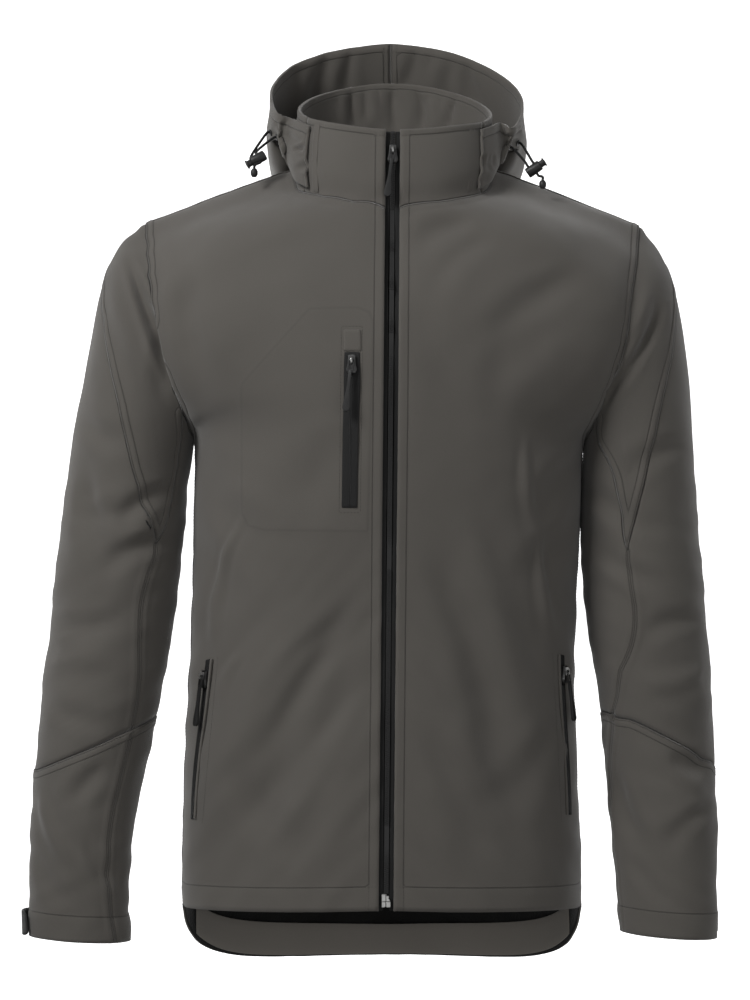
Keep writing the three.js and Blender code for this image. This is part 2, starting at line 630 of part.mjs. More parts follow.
// A thin piece laid on a surface: a grid of places with their normals, lifted clear and given a wall
function addLaid(name, places, lift, wall, colour, roughness, metalness) {
  const liftAt = typeof lift === 'function' ? lift : () => lift;
  const grid = places.map((row, i) => row.map((place, j) => (
    place.point.clone().addScaledVector(place.normal, liftAt(i, j) + wall)
  )));
  const piece = new ClothPiece(name, colour, wall, [grid]);
  const wanted = places[0][0].normal;
  if (faceNormal(piece, piece.faces[0]).dot(wanted) < 0) piece.faces.forEach((loop) => loop.reverse());
  shareNormals([piece]);
  addMesh(name, wallGeometry(piece), colour, roughness, metalness);
}

const steps = (from, to, count) => (
  Array.from({ length: count + 1 }, (_, k) => from + ((to - from) * k) / count)
);

// Inside facing along the dropped back hem
const FACING_ROWS = 0.7;
const FACING_EDGE = 1.4;
const FACING_FOOT = 0.03;
const FACING_STEPS = 8;
const facingColumns = [
  steps(FACING_EDGE, HALF_COLUMNS, FACING_STEPS),
  steps(0, HALF_COLUMNS - FACING_EDGE, FACING_STEPS).slice(1),
];
const facingPlace = (row, column, half) => surfaceAt(pieceByName.back, row, column, 0, half);
addLaid('back_hem_facing', steps(FACING_FOOT, FACING_ROWS, 1).map((row) => (
  facingColumns.flatMap((columns, half) => columns.map((column) => facingPlace(row, column, half)))
)), -(SHELL_WALL + LAID_GAP + FACING_WALL), FACING_WALL, COLOURS.cloth);

// Front zip: two tapes behind the fronts' edges, the closed teeth between them and the box at the foot
const TEETH_HALF = 2.3;
const NECK_EASE = 0.8;
const TEETH_WALL = 2.2;
const TEETH_PROUD = 0.8;
// How far each tape reaches under the cloth, in columns
const TAPE_REACH = { body: 0.26, neck: 0.08, collar: 0.06 };
// Clear height between the teeth and the box, over the box's own height
const TEETH_OVER_BOX = 3.8;
const BOX = { width: 8, height: 11.8, depth: 4.2 };
// Outline of the box from its lower left corner, in shares of its width and height
const BOX_OUTLINE = [
  [-0.18, -0.5], [-0.14, -0.46], [0, -0.46], [0.04, -0.5], [0.42, -0.5], [0.5, -0.42], [0.5, -0.1],
  [0.4, 0.06], [0.26, 0.18], [0.34, 0.28], [0.28, 0.37], [0.08, 0.36], [0.02, 0.5], [-0.44, 0.5], [-0.5, 0.44],
];
const zipStations = { r: [], l: [] };
for (const side of ['r', 'l']) {
  const front = pieceByName[`front_${side}`];
  const collar = pieceByName[`collar_front_${side}`];
  for (let row = 0; row <= FRONT_NECK_ROW; row += 1) {
    const atNeck = row >= FRONT_NECK_ROW - 1;
    const deep = atNeck ? COLLAR_WALL + NECK_EASE : SHELL_WALL;
    const reach = atNeck ? TAPE_REACH.neck : TAPE_REACH.body;
    zipStations[side].push({ edge: surfaceAt(front, row, 0), under: surfaceAt(front, row, reach), deep });
  }
  for (let row = 1; row <= COLLAR_ROWS; row += 1) {
    const deep = COLLAR_WALL + NECK_EASE;
    const under = surfaceAt(collar, row, TAPE_REACH.collar);
    zipStations[side].push({ edge: surfaceAt(collar, row, 0), under, deep });
  }
  const shiftX = (place, by) => ({ point: place.point.clone().add(vec(by, 0, 0)), normal: place.normal });
  const sunk = ({ point, normal }, by) => ({ point: point.clone().addScaledVector(normal, -by), normal });
  const places = zipStations[side].map(({ edge, under, deep }) => (
    [shiftX(edge, -sign[side] * (ZIP_HALF - TEETH_HALF - SEAM_GAP)), edge, under]
      .map((place) => sunk(place, deep + LAID_GAP + TAPE_WALL))
  ));
  addLaid(`zip_tape_${side}`, places, 0, TAPE_WALL, COLOURS.tape);
}
const zipMiddle = zipStations.r.map(({ edge }, k) => {
  const other = zipStations.l[k].edge;
  const normal = edge.normal.clone().add(other.normal).setX(0).normalize();
  return { point: edge.point.clone().lerp(other.point, 0.5), normal };
});

// Point on the zip's centre line at a height, lifted from the cloth's outer face
function zipAt(z, lift = 0) {
  let k = 0;
  while (k < zipMiddle.length - 2 && zipMiddle[k + 1].point.z < z) k += 1;
  const t = (z - zipMiddle[k].point.z) / (zipMiddle[k + 1].point.z - zipMiddle[k].point.z);
  const normal = zipMiddle[k].normal.clone().lerp(zipMiddle[k + 1].normal, t).normalize();
  const point = zipMiddle[k].point.clone().lerp(zipMiddle[k + 1].point, t);
  return { point: point.addScaledVector(normal, lift), normal };
}
const teethFoot = ZIP_FOOT.z + BOX.height + TEETH_OVER_BOX;
const teethRows = [teethFoot, ...zipMiddle.map(({ point }) => point.z).filter((z) => z > teethFoot + 4)];
addLaid('zip_teeth', teethRows.map((z) => {
  const at = zipAt(z);
  const deep = z > zipMiddle[FRONT_NECK_ROW - 1].point.z - 1 ? COLLAR_WALL + NECK_EASE : SHELL_WALL;
  const sunk = at.point.addScaledVector(at.normal, -(deep + LAID_GAP + TEETH_WALL - TEETH_PROUD));
  return [-1, 1].map((s) => ({ point: sunk.clone().add(vec(s * TEETH_HALF, 0, 0)), normal: at.normal }));
}), 0, TEETH_WALL, COLOURS.tape, 0.5);

// Solids with holes are joined and cut exactly
function toManifold(geometry) {
  const bare = geometry.clone();
  bare.deleteAttribute('normal');
  bare.deleteAttribute('uv');
  const merged = mergeVertices(bare, 1e-4);
  const triVerts = new Uint32Array(merged.index.array);
  const vertProperties = merged.attributes.position.array;
  return new wasm.Manifold(new wasm.Mesh({ numProp: 3, vertProperties, triVerts }));
}
function fromManifold(solid) {
  const mesh = solid.getMesh();
  const geometry = new THREE.BufferGeometry();
  geometry.setAttribute('position', new THREE.BufferAttribute(new Float32Array(mesh.vertProperties), 3));
  geometry.setIndex([...mesh.triVerts]);
  return geometry;
}

// Sliders and pulls are drawn flat: x across, y up the zip, z out of the cloth
const SLIDER = { top: 6.2, wide: 9.6, foot: 6.6, length: 16, depth: 3 };
const BRIDGE = { length: 7.4, rise: 4.4, width: 1.8, hole: 1.4, height: 3.2 };
const LINK = { width: 5.6, length: 11.4, bar: 1.15, depth: 1.1 };
const PULL = { length: 44, neck: 2.9, stem: 24, wide: 6.6, depth: 2.6 };

function extruded(shape, depth, middle, curveSegments = 6) {
  const geometry = new THREE.ExtrudeGeometry(shape, { depth, bevelEnabled: false, curveSegments });
  return geometry.translate(0, 0, middle - depth / 2);
}

function sliderGeometry() {
  const { top, wide, foot, length, depth } = SLIDER;
  const body = new THREE.Shape();
  body.moveTo(-top / 2, length / 2);
  body.quadraticCurveTo(0, length / 2 + 1, top / 2, length / 2);
  body.quadraticCurveTo(top / 2 + 0.2, 0, wide / 2, -0.28 * length);
  body.quadraticCurveTo(wide / 2, -0.42 * length, foot / 2, -length / 2);
  body.lineTo(-foot / 2, -length / 2);
  body.quadraticCurveTo(-wide / 2, -0.42 * length, -wide / 2, -0.28 * length);
  body.quadraticCurveTo(-top / 2 - 0.2, 0, -top / 2, length / 2);
  const bridge = new THREE.Shape();
  bridge.moveTo(-BRIDGE.length / 2, -0.4);
  bridge.lineTo(BRIDGE.length / 2, -0.4);
  bridge.quadraticCurveTo(BRIDGE.length / 2, BRIDGE.rise, 0, BRIDGE.rise);
  bridge.quadraticCurveTo(-BRIDGE.length / 2, BRIDGE.rise, -BRIDGE.length / 2, -0.4);
  const eye = new THREE.Path();
  eye.absellipse(0, BRIDGE.rise / 2 - 0.15, BRIDGE.hole * 1.35, BRIDGE.hole, 0, 2 * Math.PI, true);
  bridge.holes.push(eye);
  const arch = extruded(bridge, BRIDGE.width, 0);
  // The arch stands on the body: its height becomes z and its length y
  arch.applyMatrix4(new THREE.Matrix4().makeBasis(vec(0, 1, 0), vec(0, 0, 1), vec(1, 0, 0)));
  arch.translate(0, BRIDGE.height, depth);
  return fromManifold(toManifold(extruded(body, depth, depth / 2)).add(toManifold(arch)));
}
// Height of the hinge line over the slider's back
const HINGE_HEIGHT = SLIDER.depth + BRIDGE.rise / 2 - 0.15;

function pullGeometry() {
  const { width, length, bar, depth } = LINK;
  const frame = new THREE.Shape();
  frame.moveTo(-width / 2, bar / 2);
  frame.lineTo(width / 2, bar / 2);
  frame.lineTo(width / 2, -length);
  frame.lineTo(-width / 2, -length);
  const gap = new THREE.Path();
  gap.moveTo(-width / 2 + bar, -bar / 2);
  gap.lineTo(-width / 2 + bar, -length + bar);
  gap.lineTo(width / 2 - bar, -length + bar);
  gap.lineTo(width / 2 - bar, -bar / 2);
  frame.holes.push(gap);
  const tab = new THREE.Shape();
  const start = -length + 2.4;
  const neck = PULL.neck / 2;
  const wide = PULL.wide / 2;
  tab.moveTo(-neck, start);
  tab.lineTo(neck, start);
  tab.lineTo(neck, -PULL.stem);
  tab.bezierCurveTo(neck, -PULL.stem - 8, wide, -PULL.length + 6, wide, -PULL.length);
  tab.absarc(0, -PULL.length, wide, 0, -Math.PI, true);
  tab.bezierCurveTo(-wide, -PULL.length + 6, -neck, -PULL.stem - 8, -neck, -PULL.stem);
  return fromManifold(toManifold(extruded(frame, depth, 0)).add(toManifold(extruded(tab, PULL.depth, 0))));
}

// Place a flat-drawn piece at a point, with its y along the zip and its z out of the cloth
function placed(geometry, origin, up, out) {
  const side = up.clone().cross(out).normalize();
  const rise = out.clone().cross(side).normalize();
  const matrix = new THREE.Matrix4().makeBasis(side, rise, out.clone().normalize()).setPosition(origin);
  return geometry.clone().applyMatrix4(matrix);
}

// Where each pull turns and each plunger slides
const moves = {};
function addSlider(name, at, up, lean, sway = 0) {
  const origin = at.point;
  addMesh(`${name}_slider`, placed(sliderGeometry(), origin, up, at.normal), COLOURS.metal, 0.35, 0.9);
  const hinge = origin.clone().addScaledVector(at.normal, HINGE_HEIGHT).addScaledVector(up, BRIDGE.height);
  const hang = up.clone().addScaledVector(at.normal, -Math.tan(radians(lean))).normalize();
  const out = at.normal.clone().addScaledVector(hang, -at.normal.dot(hang)).normalize();
  const pull = pullGeometry().rotateZ(radians(sway));
  addMesh(`${name}_pull`, placed(pull, hinge, hang, out), COLOURS.plastic, 0.5, 0);
  const axis = out.clone().cross(hang).normalize().applyAxisAngle(out, radians(sway));
  moves[`${name}_pull`] = { hinge, axis };
}

// Zip box at the foot of the front zip
const boxTop = zipAt(teethFoot - SEAM_GAP - BOX.height / 2 + 0.1, 0);
const boxShape = new THREE.Shape();
boxShape.moveTo(-0.5 * BOX.width, -0.5 * BOX.height);
for (const [across, rise] of BOX_OUTLINE) boxShape.lineTo(across * BOX.width, rise * BOX.height);
boxShape.closePath();
const boxGeometry = extruded(boxShape, BOX.depth, 0);
const boxOut = boxTop.normal;
const boxUp = vec(0, 0, 1).addScaledVector(boxOut, -boxOut.z).normalize();
addMesh('zip_box', placed(boxGeometry, boxTop.point.clone().addScaledVector(boxOut, 0.2), boxUp, boxOut),
  COLOURS.metal, 0.4, 0.6);

const FRONT_SLIDER = { z: 8, half: 8, lean: 5, sway: -6 };
const frontAt = zipAt(FRONT_SLIDER.z, 0);
frontAt.point.addScaledVector(frontAt.normal, TEETH_PROUD + SEAM_GAP - COLLAR_WALL - NECK_EASE - LAID_GAP);
const frontUp = zipAt(FRONT_SLIDER.z + FRONT_SLIDER.half).point
  .sub(zipAt(FRONT_SLIDER.z - FRONT_SLIDER.half).point).normalize();
addSlider('front', frontAt, frontUp, FRONT_SLIDER.lean, FRONT_SLIDER.sway);

// A straight run of places on a front panel between two points seen from the front
function panelRun(piece, from, to, halfWidth, count, spread = 2, level = false) {
  const top = gridPlace(piece, from.x, from.z);
  const foot = gridPlace(piece, to.x, to.z);
  return steps(0, 1, count).map((t) => {
    const row = THREE.MathUtils.lerp(top.row, foot.row, t);
    const column = THREE.MathUtils.lerp(top.column, foot.column, t);
    const cell = surfaceAt(piece, row, Math.floor(column)).point
      .distanceTo(surfaceAt(piece, row, Math.floor(column) + 1).point);
    return steps(-1, 1, spread).map((s) => {
      if (!level) return surfaceAt(piece, row, column + (s * halfWidth) / cell);
      const x = THREE.MathUtils.lerp(from.x, to.x, t) + s * halfWidth;
      const place = gridPlace(piece, x, THREE.MathUtils.lerp(from.z, to.z, t));
      return surfaceAt(piece, place.row, place.column);
    });
  });
}
const middleOf = (row) => row[(row.length - 1) / 2];

// Chest pocket on the wearer's right: a zip in a stitched slot with a cloth garage over its top
const CHEST = {
  top: { x: -38, z: -178 }, foot: { x: -40.2, z: -320.8 }, half: 7.3, garage: 20, steps: 12, lean: 3, sway: -5,
};
const chest = panelRun(pieceByName.front_r, CHEST.top, CHEST.foot, CHEST.half, CHEST.steps, 2, true);
addLaid('chest_zip', chest, LAID_GAP, TAPE_WALL, COLOURS.tape);
const garageRun = panelRun(pieceByName.front_r, { x: CHEST.top.x, z: CHEST.top.z + CHEST.garage },
  { x: CHEST.top.x, z: CHEST.top.z + 0.6 }, CHEST.half + 0.6, 2, 2, true);
addLaid('chest_garage', garageRun, LAID_GAP, TAPE_WALL + 0.4, COLOURS.cloth);
function sliderOn(run, share, lift) {
  const k = Math.round(share * (run.length - 1));
  const above = middleOf(run[Math.max(k - 1, 0)]);
  const below = middleOf(run[Math.min(k + 1, run.length - 1)]);
  const here = middleOf(run[k]);
  const up = above.point.clone().sub(below.point).normalize();
  const normal = here.normal.clone().addScaledVector(up, -here.normal.dot(up)).normalize();
  return { at: { point: here.point.clone().addScaledVector(normal, lift), normal }, up };
}
const chestSlider = sliderOn(chest, 1 / CHEST.steps, LAID_GAP + TAPE_WALL + SEAM_GAP);
addSlider('chest', chestSlider.at, chestSlider.up, CHEST.lean, CHEST.sway);

// Hand pockets: a slanting opening near each side seam
const HAND = {
  r: { top: { x: -172, z: -462 }, foot: { x: -187.5, z: -612 } },
  l: { top: { x: 157, z: -458 }, foot: { x: 165, z: -608 } },
  half: 3.4, welt: 4.6, share: 0.125, lean: 3, sway: { r: 4, l: 6 },
};
for (const side of ['r', 'l']) {
  const panel = pieceByName[`front_${side}`];
  const run = panelRun(panel, HAND[side].top, HAND[side].foot, HAND.half, 8);
  addLaid(`hand_zip_${side}`, run, LAID_GAP, TAPE_WALL, COLOURS.tape);
  const lip = panelRun(panel, HAND[side].top, HAND[side].foot, HAND.half + HAND.welt, 8, 10)
    .map((row) => row.slice(0, 3));
  addLaid(`hand_welt_${side}`, lip, LAID_GAP, TAPE_WALL + 0.6, COLOURS.cloth);
  const slider = sliderOn(run, HAND.share, LAID_GAP + TAPE_WALL + SEAM_GAP);
  addSlider(`hand_${side}`, slider.at, slider.up, HAND.lean, HAND.sway[side]);
}

// Narrow bands over the seams between the collar's fronts and its back
const BAND = { half: 4.3, column: 2.72 };
for (const side of ['r', 'l']) {
  const collar = pieceByName[`collar_front_${side}`];
  const cell = surfaceAt(collar, 2, 2).point.distanceTo(surfaceAt(collar, 2, 3).point);
  const places = steps(0.12, COLLAR_ROWS - 0.1, 4).map((row) => (
    steps(-1, 1, 2).map((s) => surfaceAt(collar, row, BAND.column - 0.3 + (s * BAND.half) / cell))
  ));
  addLaid(`collar_band_${side}`, places, LAID_GAP, TAPE_WALL, COLOURS.cloth);
}

// Cuff straps run round the back of each cuff to a moulded tab at its outer edge
const CUFF = {
  rowLow: 4.97, rowHigh: 4.02, strapFrom: -4.3, join: -0.9, gap: 0.03, tip: 1.35, standOff: 4.6, steps: 6,
  tabExtra: 0.6, back: { r: 0, l: 2.4 },
};
for (const side of ['r', 'l']) {
  const lower = pieceByName[`sleeve_lower_${side}`];
  const turned = -SLEEVES[side].turn(13.6).degrees / 18 - CUFF.back[side];
  const column = (c) => RING_COLUMNS - FRONT_SEAM_COLUMN + turned + c;
  const lift = (c) => 2 * LAID_GAP + CUFF.standOff * Math.max(0, 1 - ((c - 0.1) / 2.6) ** 2);
  const run = (from, to, count, round) => steps(from, to, count).map((c) => {
    const near = round ? Math.max(0, (c - (CUFF.tip - 0.45)) / 0.45) : 0;
    const half = 0.5 * (CUFF.rowLow - CUFF.rowHigh) * (1 - 0.28 * near * near);
    const middle = (CUFF.rowLow + CUFF.rowHigh) / 2;
    return steps(middle - half, middle + half, 2).map((row) => surfaceAt(lower, row, column(c)));
  });
  const strapEnd = CUFF.join - CUFF.gap;
  const strap = steps(CUFF.strapFrom, strapEnd, CUFF.steps);
  const tab = steps(CUFF.join, CUFF.tip, CUFF.steps);
  const strapPlaces = run(CUFF.strapFrom, strapEnd, CUFF.steps, false);
  const tabPlaces = run(CUFF.join, CUFF.tip, CUFF.steps, true);
  addLaid(`cuff_strap_${side}`, strapPlaces, (i) => lift(strap[i]), STRAP_WALL, COLOURS.cloth);
  const tabWall = STRAP_WALL + CUFF.tabExtra;
  addLaid(`cuff_tab_${side}`, tabPlaces, (i) => lift(tab[i]), tabWall, COLOURS.rubber, 0.6);
}

// Hood lying open behind the collar
// Each section runs from the neck seam, down into the pouch and up to the edge
const HOOD_STEPS = 9;
const HOOD_COLUMNS = 16;
function collarSection(side, column, rows, lifts) {
  const onFront = column <= COLLAR_FRONT_COLUMNS;
  const whole = onFront ? pieceByName[`collar_front_${side}`] : pieceByName.collar_back;
  const backWidth = pieceByName.collar_back.grids[0][0].length - 1;
  let at = column;
  if (!onFront) {
    at = side === 'r' ? column - COLLAR_FRONT_COLUMNS : backWidth - (column - COLLAR_FRONT_COLUMNS);
  }
  return rows.map((row, k) => surfaceAt(whole, row, at, lifts[k]).point);
}
const HOOD_SECTIONS = [
  { column: 2.72, rows: [0.15, 1.3, 2.4, 3.55], lifts: [4.4, 4.4, 4.4, 4.4] },
  { column: 3.45, rows: [0.12, 1.3, 2.4, 3.6], lifts: [6.4, 6.8, 6.8, 6.4] },
  { column: 4.2, rows: [0.2, 1.2, 2.4, 3.5], lifts: [5, 9, 11, 9] },
  { column: 4.8, rows: [], back: [], low: [105, -9, 24], out: [110, -8, 38], edge: [107, -8, 52] },
  { column: 5.3, rows: [], back: [], low: [117, 22, 29], out: [120, 24, 46], edge: [116, 29, 67] },
  { column: 5.9, rows: [0.5], lifts: [5], back: [[21, 1.3, 8], [20.2, 2.5, 11]],
    out: [121, 84, 16], edge: [118, 64, 84] },
  { column: 6.6, rows: [0.5], lifts: [5], back: [[20.2, 0.8, 7], [18.8, 2, 8], [17.4, 2.6, 12]],
    out: [112, 134, -14], edge: [109, 97, 102.5] },
  { column: 7.5, rows: [0.5], lifts: [5], back: [[19.3, 0.8, 7], [17.7, 1.8, 8], [15.6, 2.3, 13]],
    out: [90, 168, -34], edge: [91, 123, 118.5] },
  { column: 8.3, rows: [0.5], lifts: [5], back: [[18.5, 0.5, 7], [17, 1, 9], [14.8, 1.2, 15]],
    out: [47, 186, -44], edge: [50, 142, 133.5] },
  { column: 9, rows: [0.5], lifts: [5], back: [[17.7, 0, 7], [16.4, 0, 9], [14.3, 0, 17]],
    out: [0, 192, -46], edge: [2, 150, 140] },
];
// The left side spreads a little further than the right one
const HOOD_LEFT = {
  3: { low: [104, -10, 16], out: [111, -10, 27], edge: [111, -12, 39] },
  4: { low: [120, 18, 21], out: [125, 20, 36], edge: [123, 26, 54] },
  5: { out: [128, 84, 10], edge: [126, 58, 72] },
  6: { out: [117, 134, -16], edge: [118, 92, 92] },
  7: { edge: [98, 121, 111] },
  8: { edge: [52, 142, 132] },
  9: { edge: [-2, 150, 140] },
};

function hoodGrid(side) {
  const sections = HOOD_SECTIONS.map((even, k) => {
    const section = side === 'l' ? { ...even, ...HOOD_LEFT[k] } : even;
    const stations = collarSection(side, section.column, section.rows, section.lifts);
    if (section.edge) {
      for (const [row, across, lift] of section.back) {
        const column = side === 'r' ? HALF_COLUMNS - across : across;
        stations.push(surfaceAt(pieceByName.back, row, column, lift, side === 'r' ? 0 : 1).point);
      }
      const free = [section.low, section.out, section.edge].filter(Boolean);
      for (const [x, y, z] of free) stations.push(vec(x * sign[side], y, z));
    }
    return spacedPoints(stations, HOOD_STEPS);
  });
  const tracks = steps(0, HOOD_STEPS, HOOD_STEPS).map((k) => {
    const curve = new THREE.CatmullRomCurve3(sections.map((section) => section[k]), false, 'centripetal');
    return steps(0, 1, HOOD_COLUMNS).map((t) => curve.getPoint(t));
  });
  return tracks;
}
const hoodPieces = [];
for (const side of ['r', 'l']) addPiece(`hood_${side}`, HOOD_WALL, [hoodGrid(side)], sign[side], hoodPieces);
shareNormals(hoodPieces);
for (const piece of hoodPieces) addMesh(piece.name, wallGeometry(piece), COLOURS.cloth);

// Drawcords: two strands from eyelets near the hood's edge into a cord lock, and one end down to a bead
const CORD_RADIUS = 1.25;
const EYELET = { outer: 3.3, inner: 1.9, height: 1 };
const LOCK = { radius: 5, length: 15, bore: 3.7, depth: 7, plunger: 3.3, cap: 4.3, travel: 3, shown: 5 };
const BEAD = { radius: 3.4, length: 8 };
const LOCKS = {
  r: { centre: vec(-127.5, -20, 9), axis: vec(-0.86, -0.1, -0.5), bead: vec(-131, -26, -5) },
  l: { centre: vec(133, -20, -1), axis: vec(0.82, -0.1, 0.57), bead: vec(141, -26, -16) },
};
const EYELET_COLUMNS = [5.5, 6.5];
const EYELET_STEP = 2;

function lathed(profile, segments = 12) {
  return new THREE.LatheGeometry(profile.map(([r, y]) => new THREE.Vector2(r, y)), segments);
}
// Turn a lathe's y axis to a direction, at a point
function alongAxis(geometry, origin, axis) {
  const turn = new THREE.Quaternion().setFromUnitVectors(vec(0, 1, 0), axis.clone().normalize());
  return geometry.applyQuaternion(turn).translate(origin.x, origin.y, origin.z);
}
function cordGeometry(points, count) {
  const path = new THREE.CatmullRomCurve3(points, false, 'centripetal');
  const section = new THREE.Shape();
  section.absarc(0, 0, CORD_RADIUS, 0, 2 * Math.PI, false);
  const settings = { steps: count, extrudePath: path, bevelEnabled: false, curveSegments: 4 };
  return new THREE.ExtrudeGeometry(section, settings);
}

for (const side of ['r', 'l']) {
  const hood = hoodPieces[side === 'r' ? 0 : 1];
  const { centre, axis, bead } = LOCKS[side];
  const direction = axis.clone().normalize();
  const { radius, length, bore, depth } = LOCK;
  const half = length / 2;
  const barrel = lathed([[0, -half], [radius - 0.8, -half], [radius, -half + 0.8], [radius, half - 0.8],
    [radius - 0.8, half], [bore, half], [bore, half - depth], [0, half - depth]]);
  addMesh(`lock_barrel_${side}`, alongAxis(barrel, centre, direction), COLOURS.plastic, 0.5);
  const rest = half + LOCK.shown;
  const stem = half - depth + LOCK.travel + 0.6;
  const plunger = lathed([[0, stem], [LOCK.plunger, stem], [LOCK.plunger, half + LOCK.travel + 0.5],
    [LOCK.cap, half + LOCK.travel + 0.5], [LOCK.cap, rest], [0, rest + 0.6]]);
  addMesh(`lock_plunger_${side}`, alongAxis(plunger, centre, direction), COLOURS.plastic, 0.5);
  moves[`lock_plunger_${side}`] = { axis: direction.clone().negate() };
  EYELET_COLUMNS.forEach((column, k) => {
    const spot = surfaceAt(hood, EYELET_STEP, column);
    const ring = lathed([[EYELET.inner, 0], [EYELET.outer, 0], [EYELET.outer, EYELET.height],
      [EYELET.inner, EYELET.height], [EYELET.inner, 0]]);
    const seat = spot.point.clone().addScaledVector(spot.normal, 2 * LAID_GAP);
    addMesh(`eyelet_${side}_${k + 1}`, alongAxis(ring, seat, spot.normal), COLOURS.plastic, 0.4);
    const start = spot.point.clone().addScaledVector(spot.normal, 1.4 * LAID_GAP);
    const along = (k - 0.5) * 6;
    const entry = centre.clone().addScaledVector(direction, along);
    const towards = start.clone().sub(entry);
    towards.addScaledVector(direction, -towards.dot(direction)).normalize();
    const end = entry.clone().addScaledVector(towards, radius + SEAM_GAP);
    const points = [start, start.clone().addScaledVector(spot.normal, 5),
      end.clone().addScaledVector(towards, 7), end];
    addMesh(`drawcord_${side}_${k + 1}`, cordGeometry(points, 10), COLOURS.plastic);
  });
  const beadAxis = vec(0, 0.1, 1).normalize();
  const shape = lathed([[0, -BEAD.length / 2], [BEAD.radius * 0.6, -BEAD.length / 2], [BEAD.radius, -1.6],
    [BEAD.radius, 1.6], [BEAD.radius * 0.6, BEAD.length / 2], [0, BEAD.length / 2]]);
  addMesh(`cord_bead_${side}`, alongAxis(shape, bead, beadAxis), COLOURS.plastic, 0.5);
  const foot = bead.clone().addScaledVector(beadAxis, BEAD.length / 2 + SEAM_GAP);
  const down = foot.clone().sub(centre);
  down.addScaledVector(direction, -down.dot(direction)).normalize();
  const head = centre.clone().addScaledVector(down, radius + SEAM_GAP);
  const beforeBead = foot.clone().addScaledVector(beadAxis, 3);
  const route = [head, head.clone().addScaledVector(down, 3), beforeBead, foot];
  addMesh(`drawcord_${side}_end`, cordGeometry(route, 6), COLOURS.plastic);
}

jacket.userData.moves = moves;

export default jacket;
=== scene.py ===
"""A hooded softshell jacket in its worn, hollow shape, dressed round its measured frame."""
import math

import bmesh
import bpy
import numpy as np
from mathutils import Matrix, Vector, noise
from mathutils.bvhtree import BVHTree
from mathutils.kdtree import KDTree


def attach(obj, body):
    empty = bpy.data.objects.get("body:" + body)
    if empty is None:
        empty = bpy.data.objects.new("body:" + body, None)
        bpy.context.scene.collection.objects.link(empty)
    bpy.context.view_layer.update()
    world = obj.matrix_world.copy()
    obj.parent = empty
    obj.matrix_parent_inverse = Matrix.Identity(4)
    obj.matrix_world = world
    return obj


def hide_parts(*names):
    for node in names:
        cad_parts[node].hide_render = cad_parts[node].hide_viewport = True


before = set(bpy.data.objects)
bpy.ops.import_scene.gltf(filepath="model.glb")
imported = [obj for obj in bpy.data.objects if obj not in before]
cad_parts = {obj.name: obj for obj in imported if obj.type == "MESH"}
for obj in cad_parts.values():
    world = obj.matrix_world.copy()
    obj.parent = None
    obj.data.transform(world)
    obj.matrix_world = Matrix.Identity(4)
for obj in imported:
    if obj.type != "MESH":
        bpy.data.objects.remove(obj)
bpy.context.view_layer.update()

bl_info = {
    "name": "Softshell jacket",
    "version": (1, 0, 0),
    "blender": (4, 5, 0),
    "location": "3D View > Sidebar > Jacket",
    "description": "Builds a hooded softshell jacket and its studio round a measured frame",
    "category": "Object",
}

MM = 0.001
SIDES = ("r", "l")
MIRROR = {"r": -1, "l": 1}

# Wall of each kind of panel, in millimetres
WALLS = {"collar": 3.6, "hood": 2.4}
SHELL_WALL = 2.0

SHELL_PANELS = ["front_r", "front_l", "back", "collar_front_r", "collar_front_l", "collar_back"]
SHELL_PANELS += [f"sleeve_{part}_{side}" for side in SIDES for part in ("cap", "upper", "lower")]
HOOD_PANELS = ["hood_r", "hood_l"]

# Middle line of the front zip, in millimetres
ZIP_TOP = (-0.4, 30.6)
ZIP_FOOT = (-7.1, -688.3)

# Cut of each sheet: width, length and area in metres, and what it hangs from or lies on
CUTS = {
    "front": ((0.275, 0.715, 0.17), ("back",)),
    "back": ((0.55, 0.79, 0.378), ("front_r", "front_l")),
    "collar_front": ((0.085, 0.092, 0.0065), ("front_{}",)),
    "collar_back": ((0.3, 0.115, 0.0251), ("back", "front_r", "front_l")),
    "sleeve_cap": ((0.105, 0.32, 0.0185), ("front_{}", "back")),
    "sleeve_upper": ((0.36, 0.5, 0.135), ("front_{}", "back")),
    "sleeve_lower": ((0.315, 0.225, 0.0555), ("sleeve_upper_{}",)),
    "hood": ((0.26, 0.36, 0.062), ("collar_front_{}", "collar_back")),
    "back_hem_facing": ((0.4, 0.042, 0.0138), ("back",)),
    "collar_band": ((0.0105, 0.08, 0.0006), ("collar_front_{}",)),
    "hand_welt": ((0.0101, 0.165, 0.0007), ("front_{}",)),
    "cuff_strap": ((0.06, 0.025, 0.00136), ("sleeve_lower_{}",)),
    "zip_tape": ((0.0105, 0.73, 0.0073), ("front_{}", "collar_front_{}")),
    "hand_zip": ((0.0101, 0.165, 0.00112), ("front_{}",)),
    "chest_garage": ((0.0165, 0.023, 0.00036), ("front_r",)),
    "chest_zip": ((0.0155, 0.15, 0.00223), ("front_r",)),
}


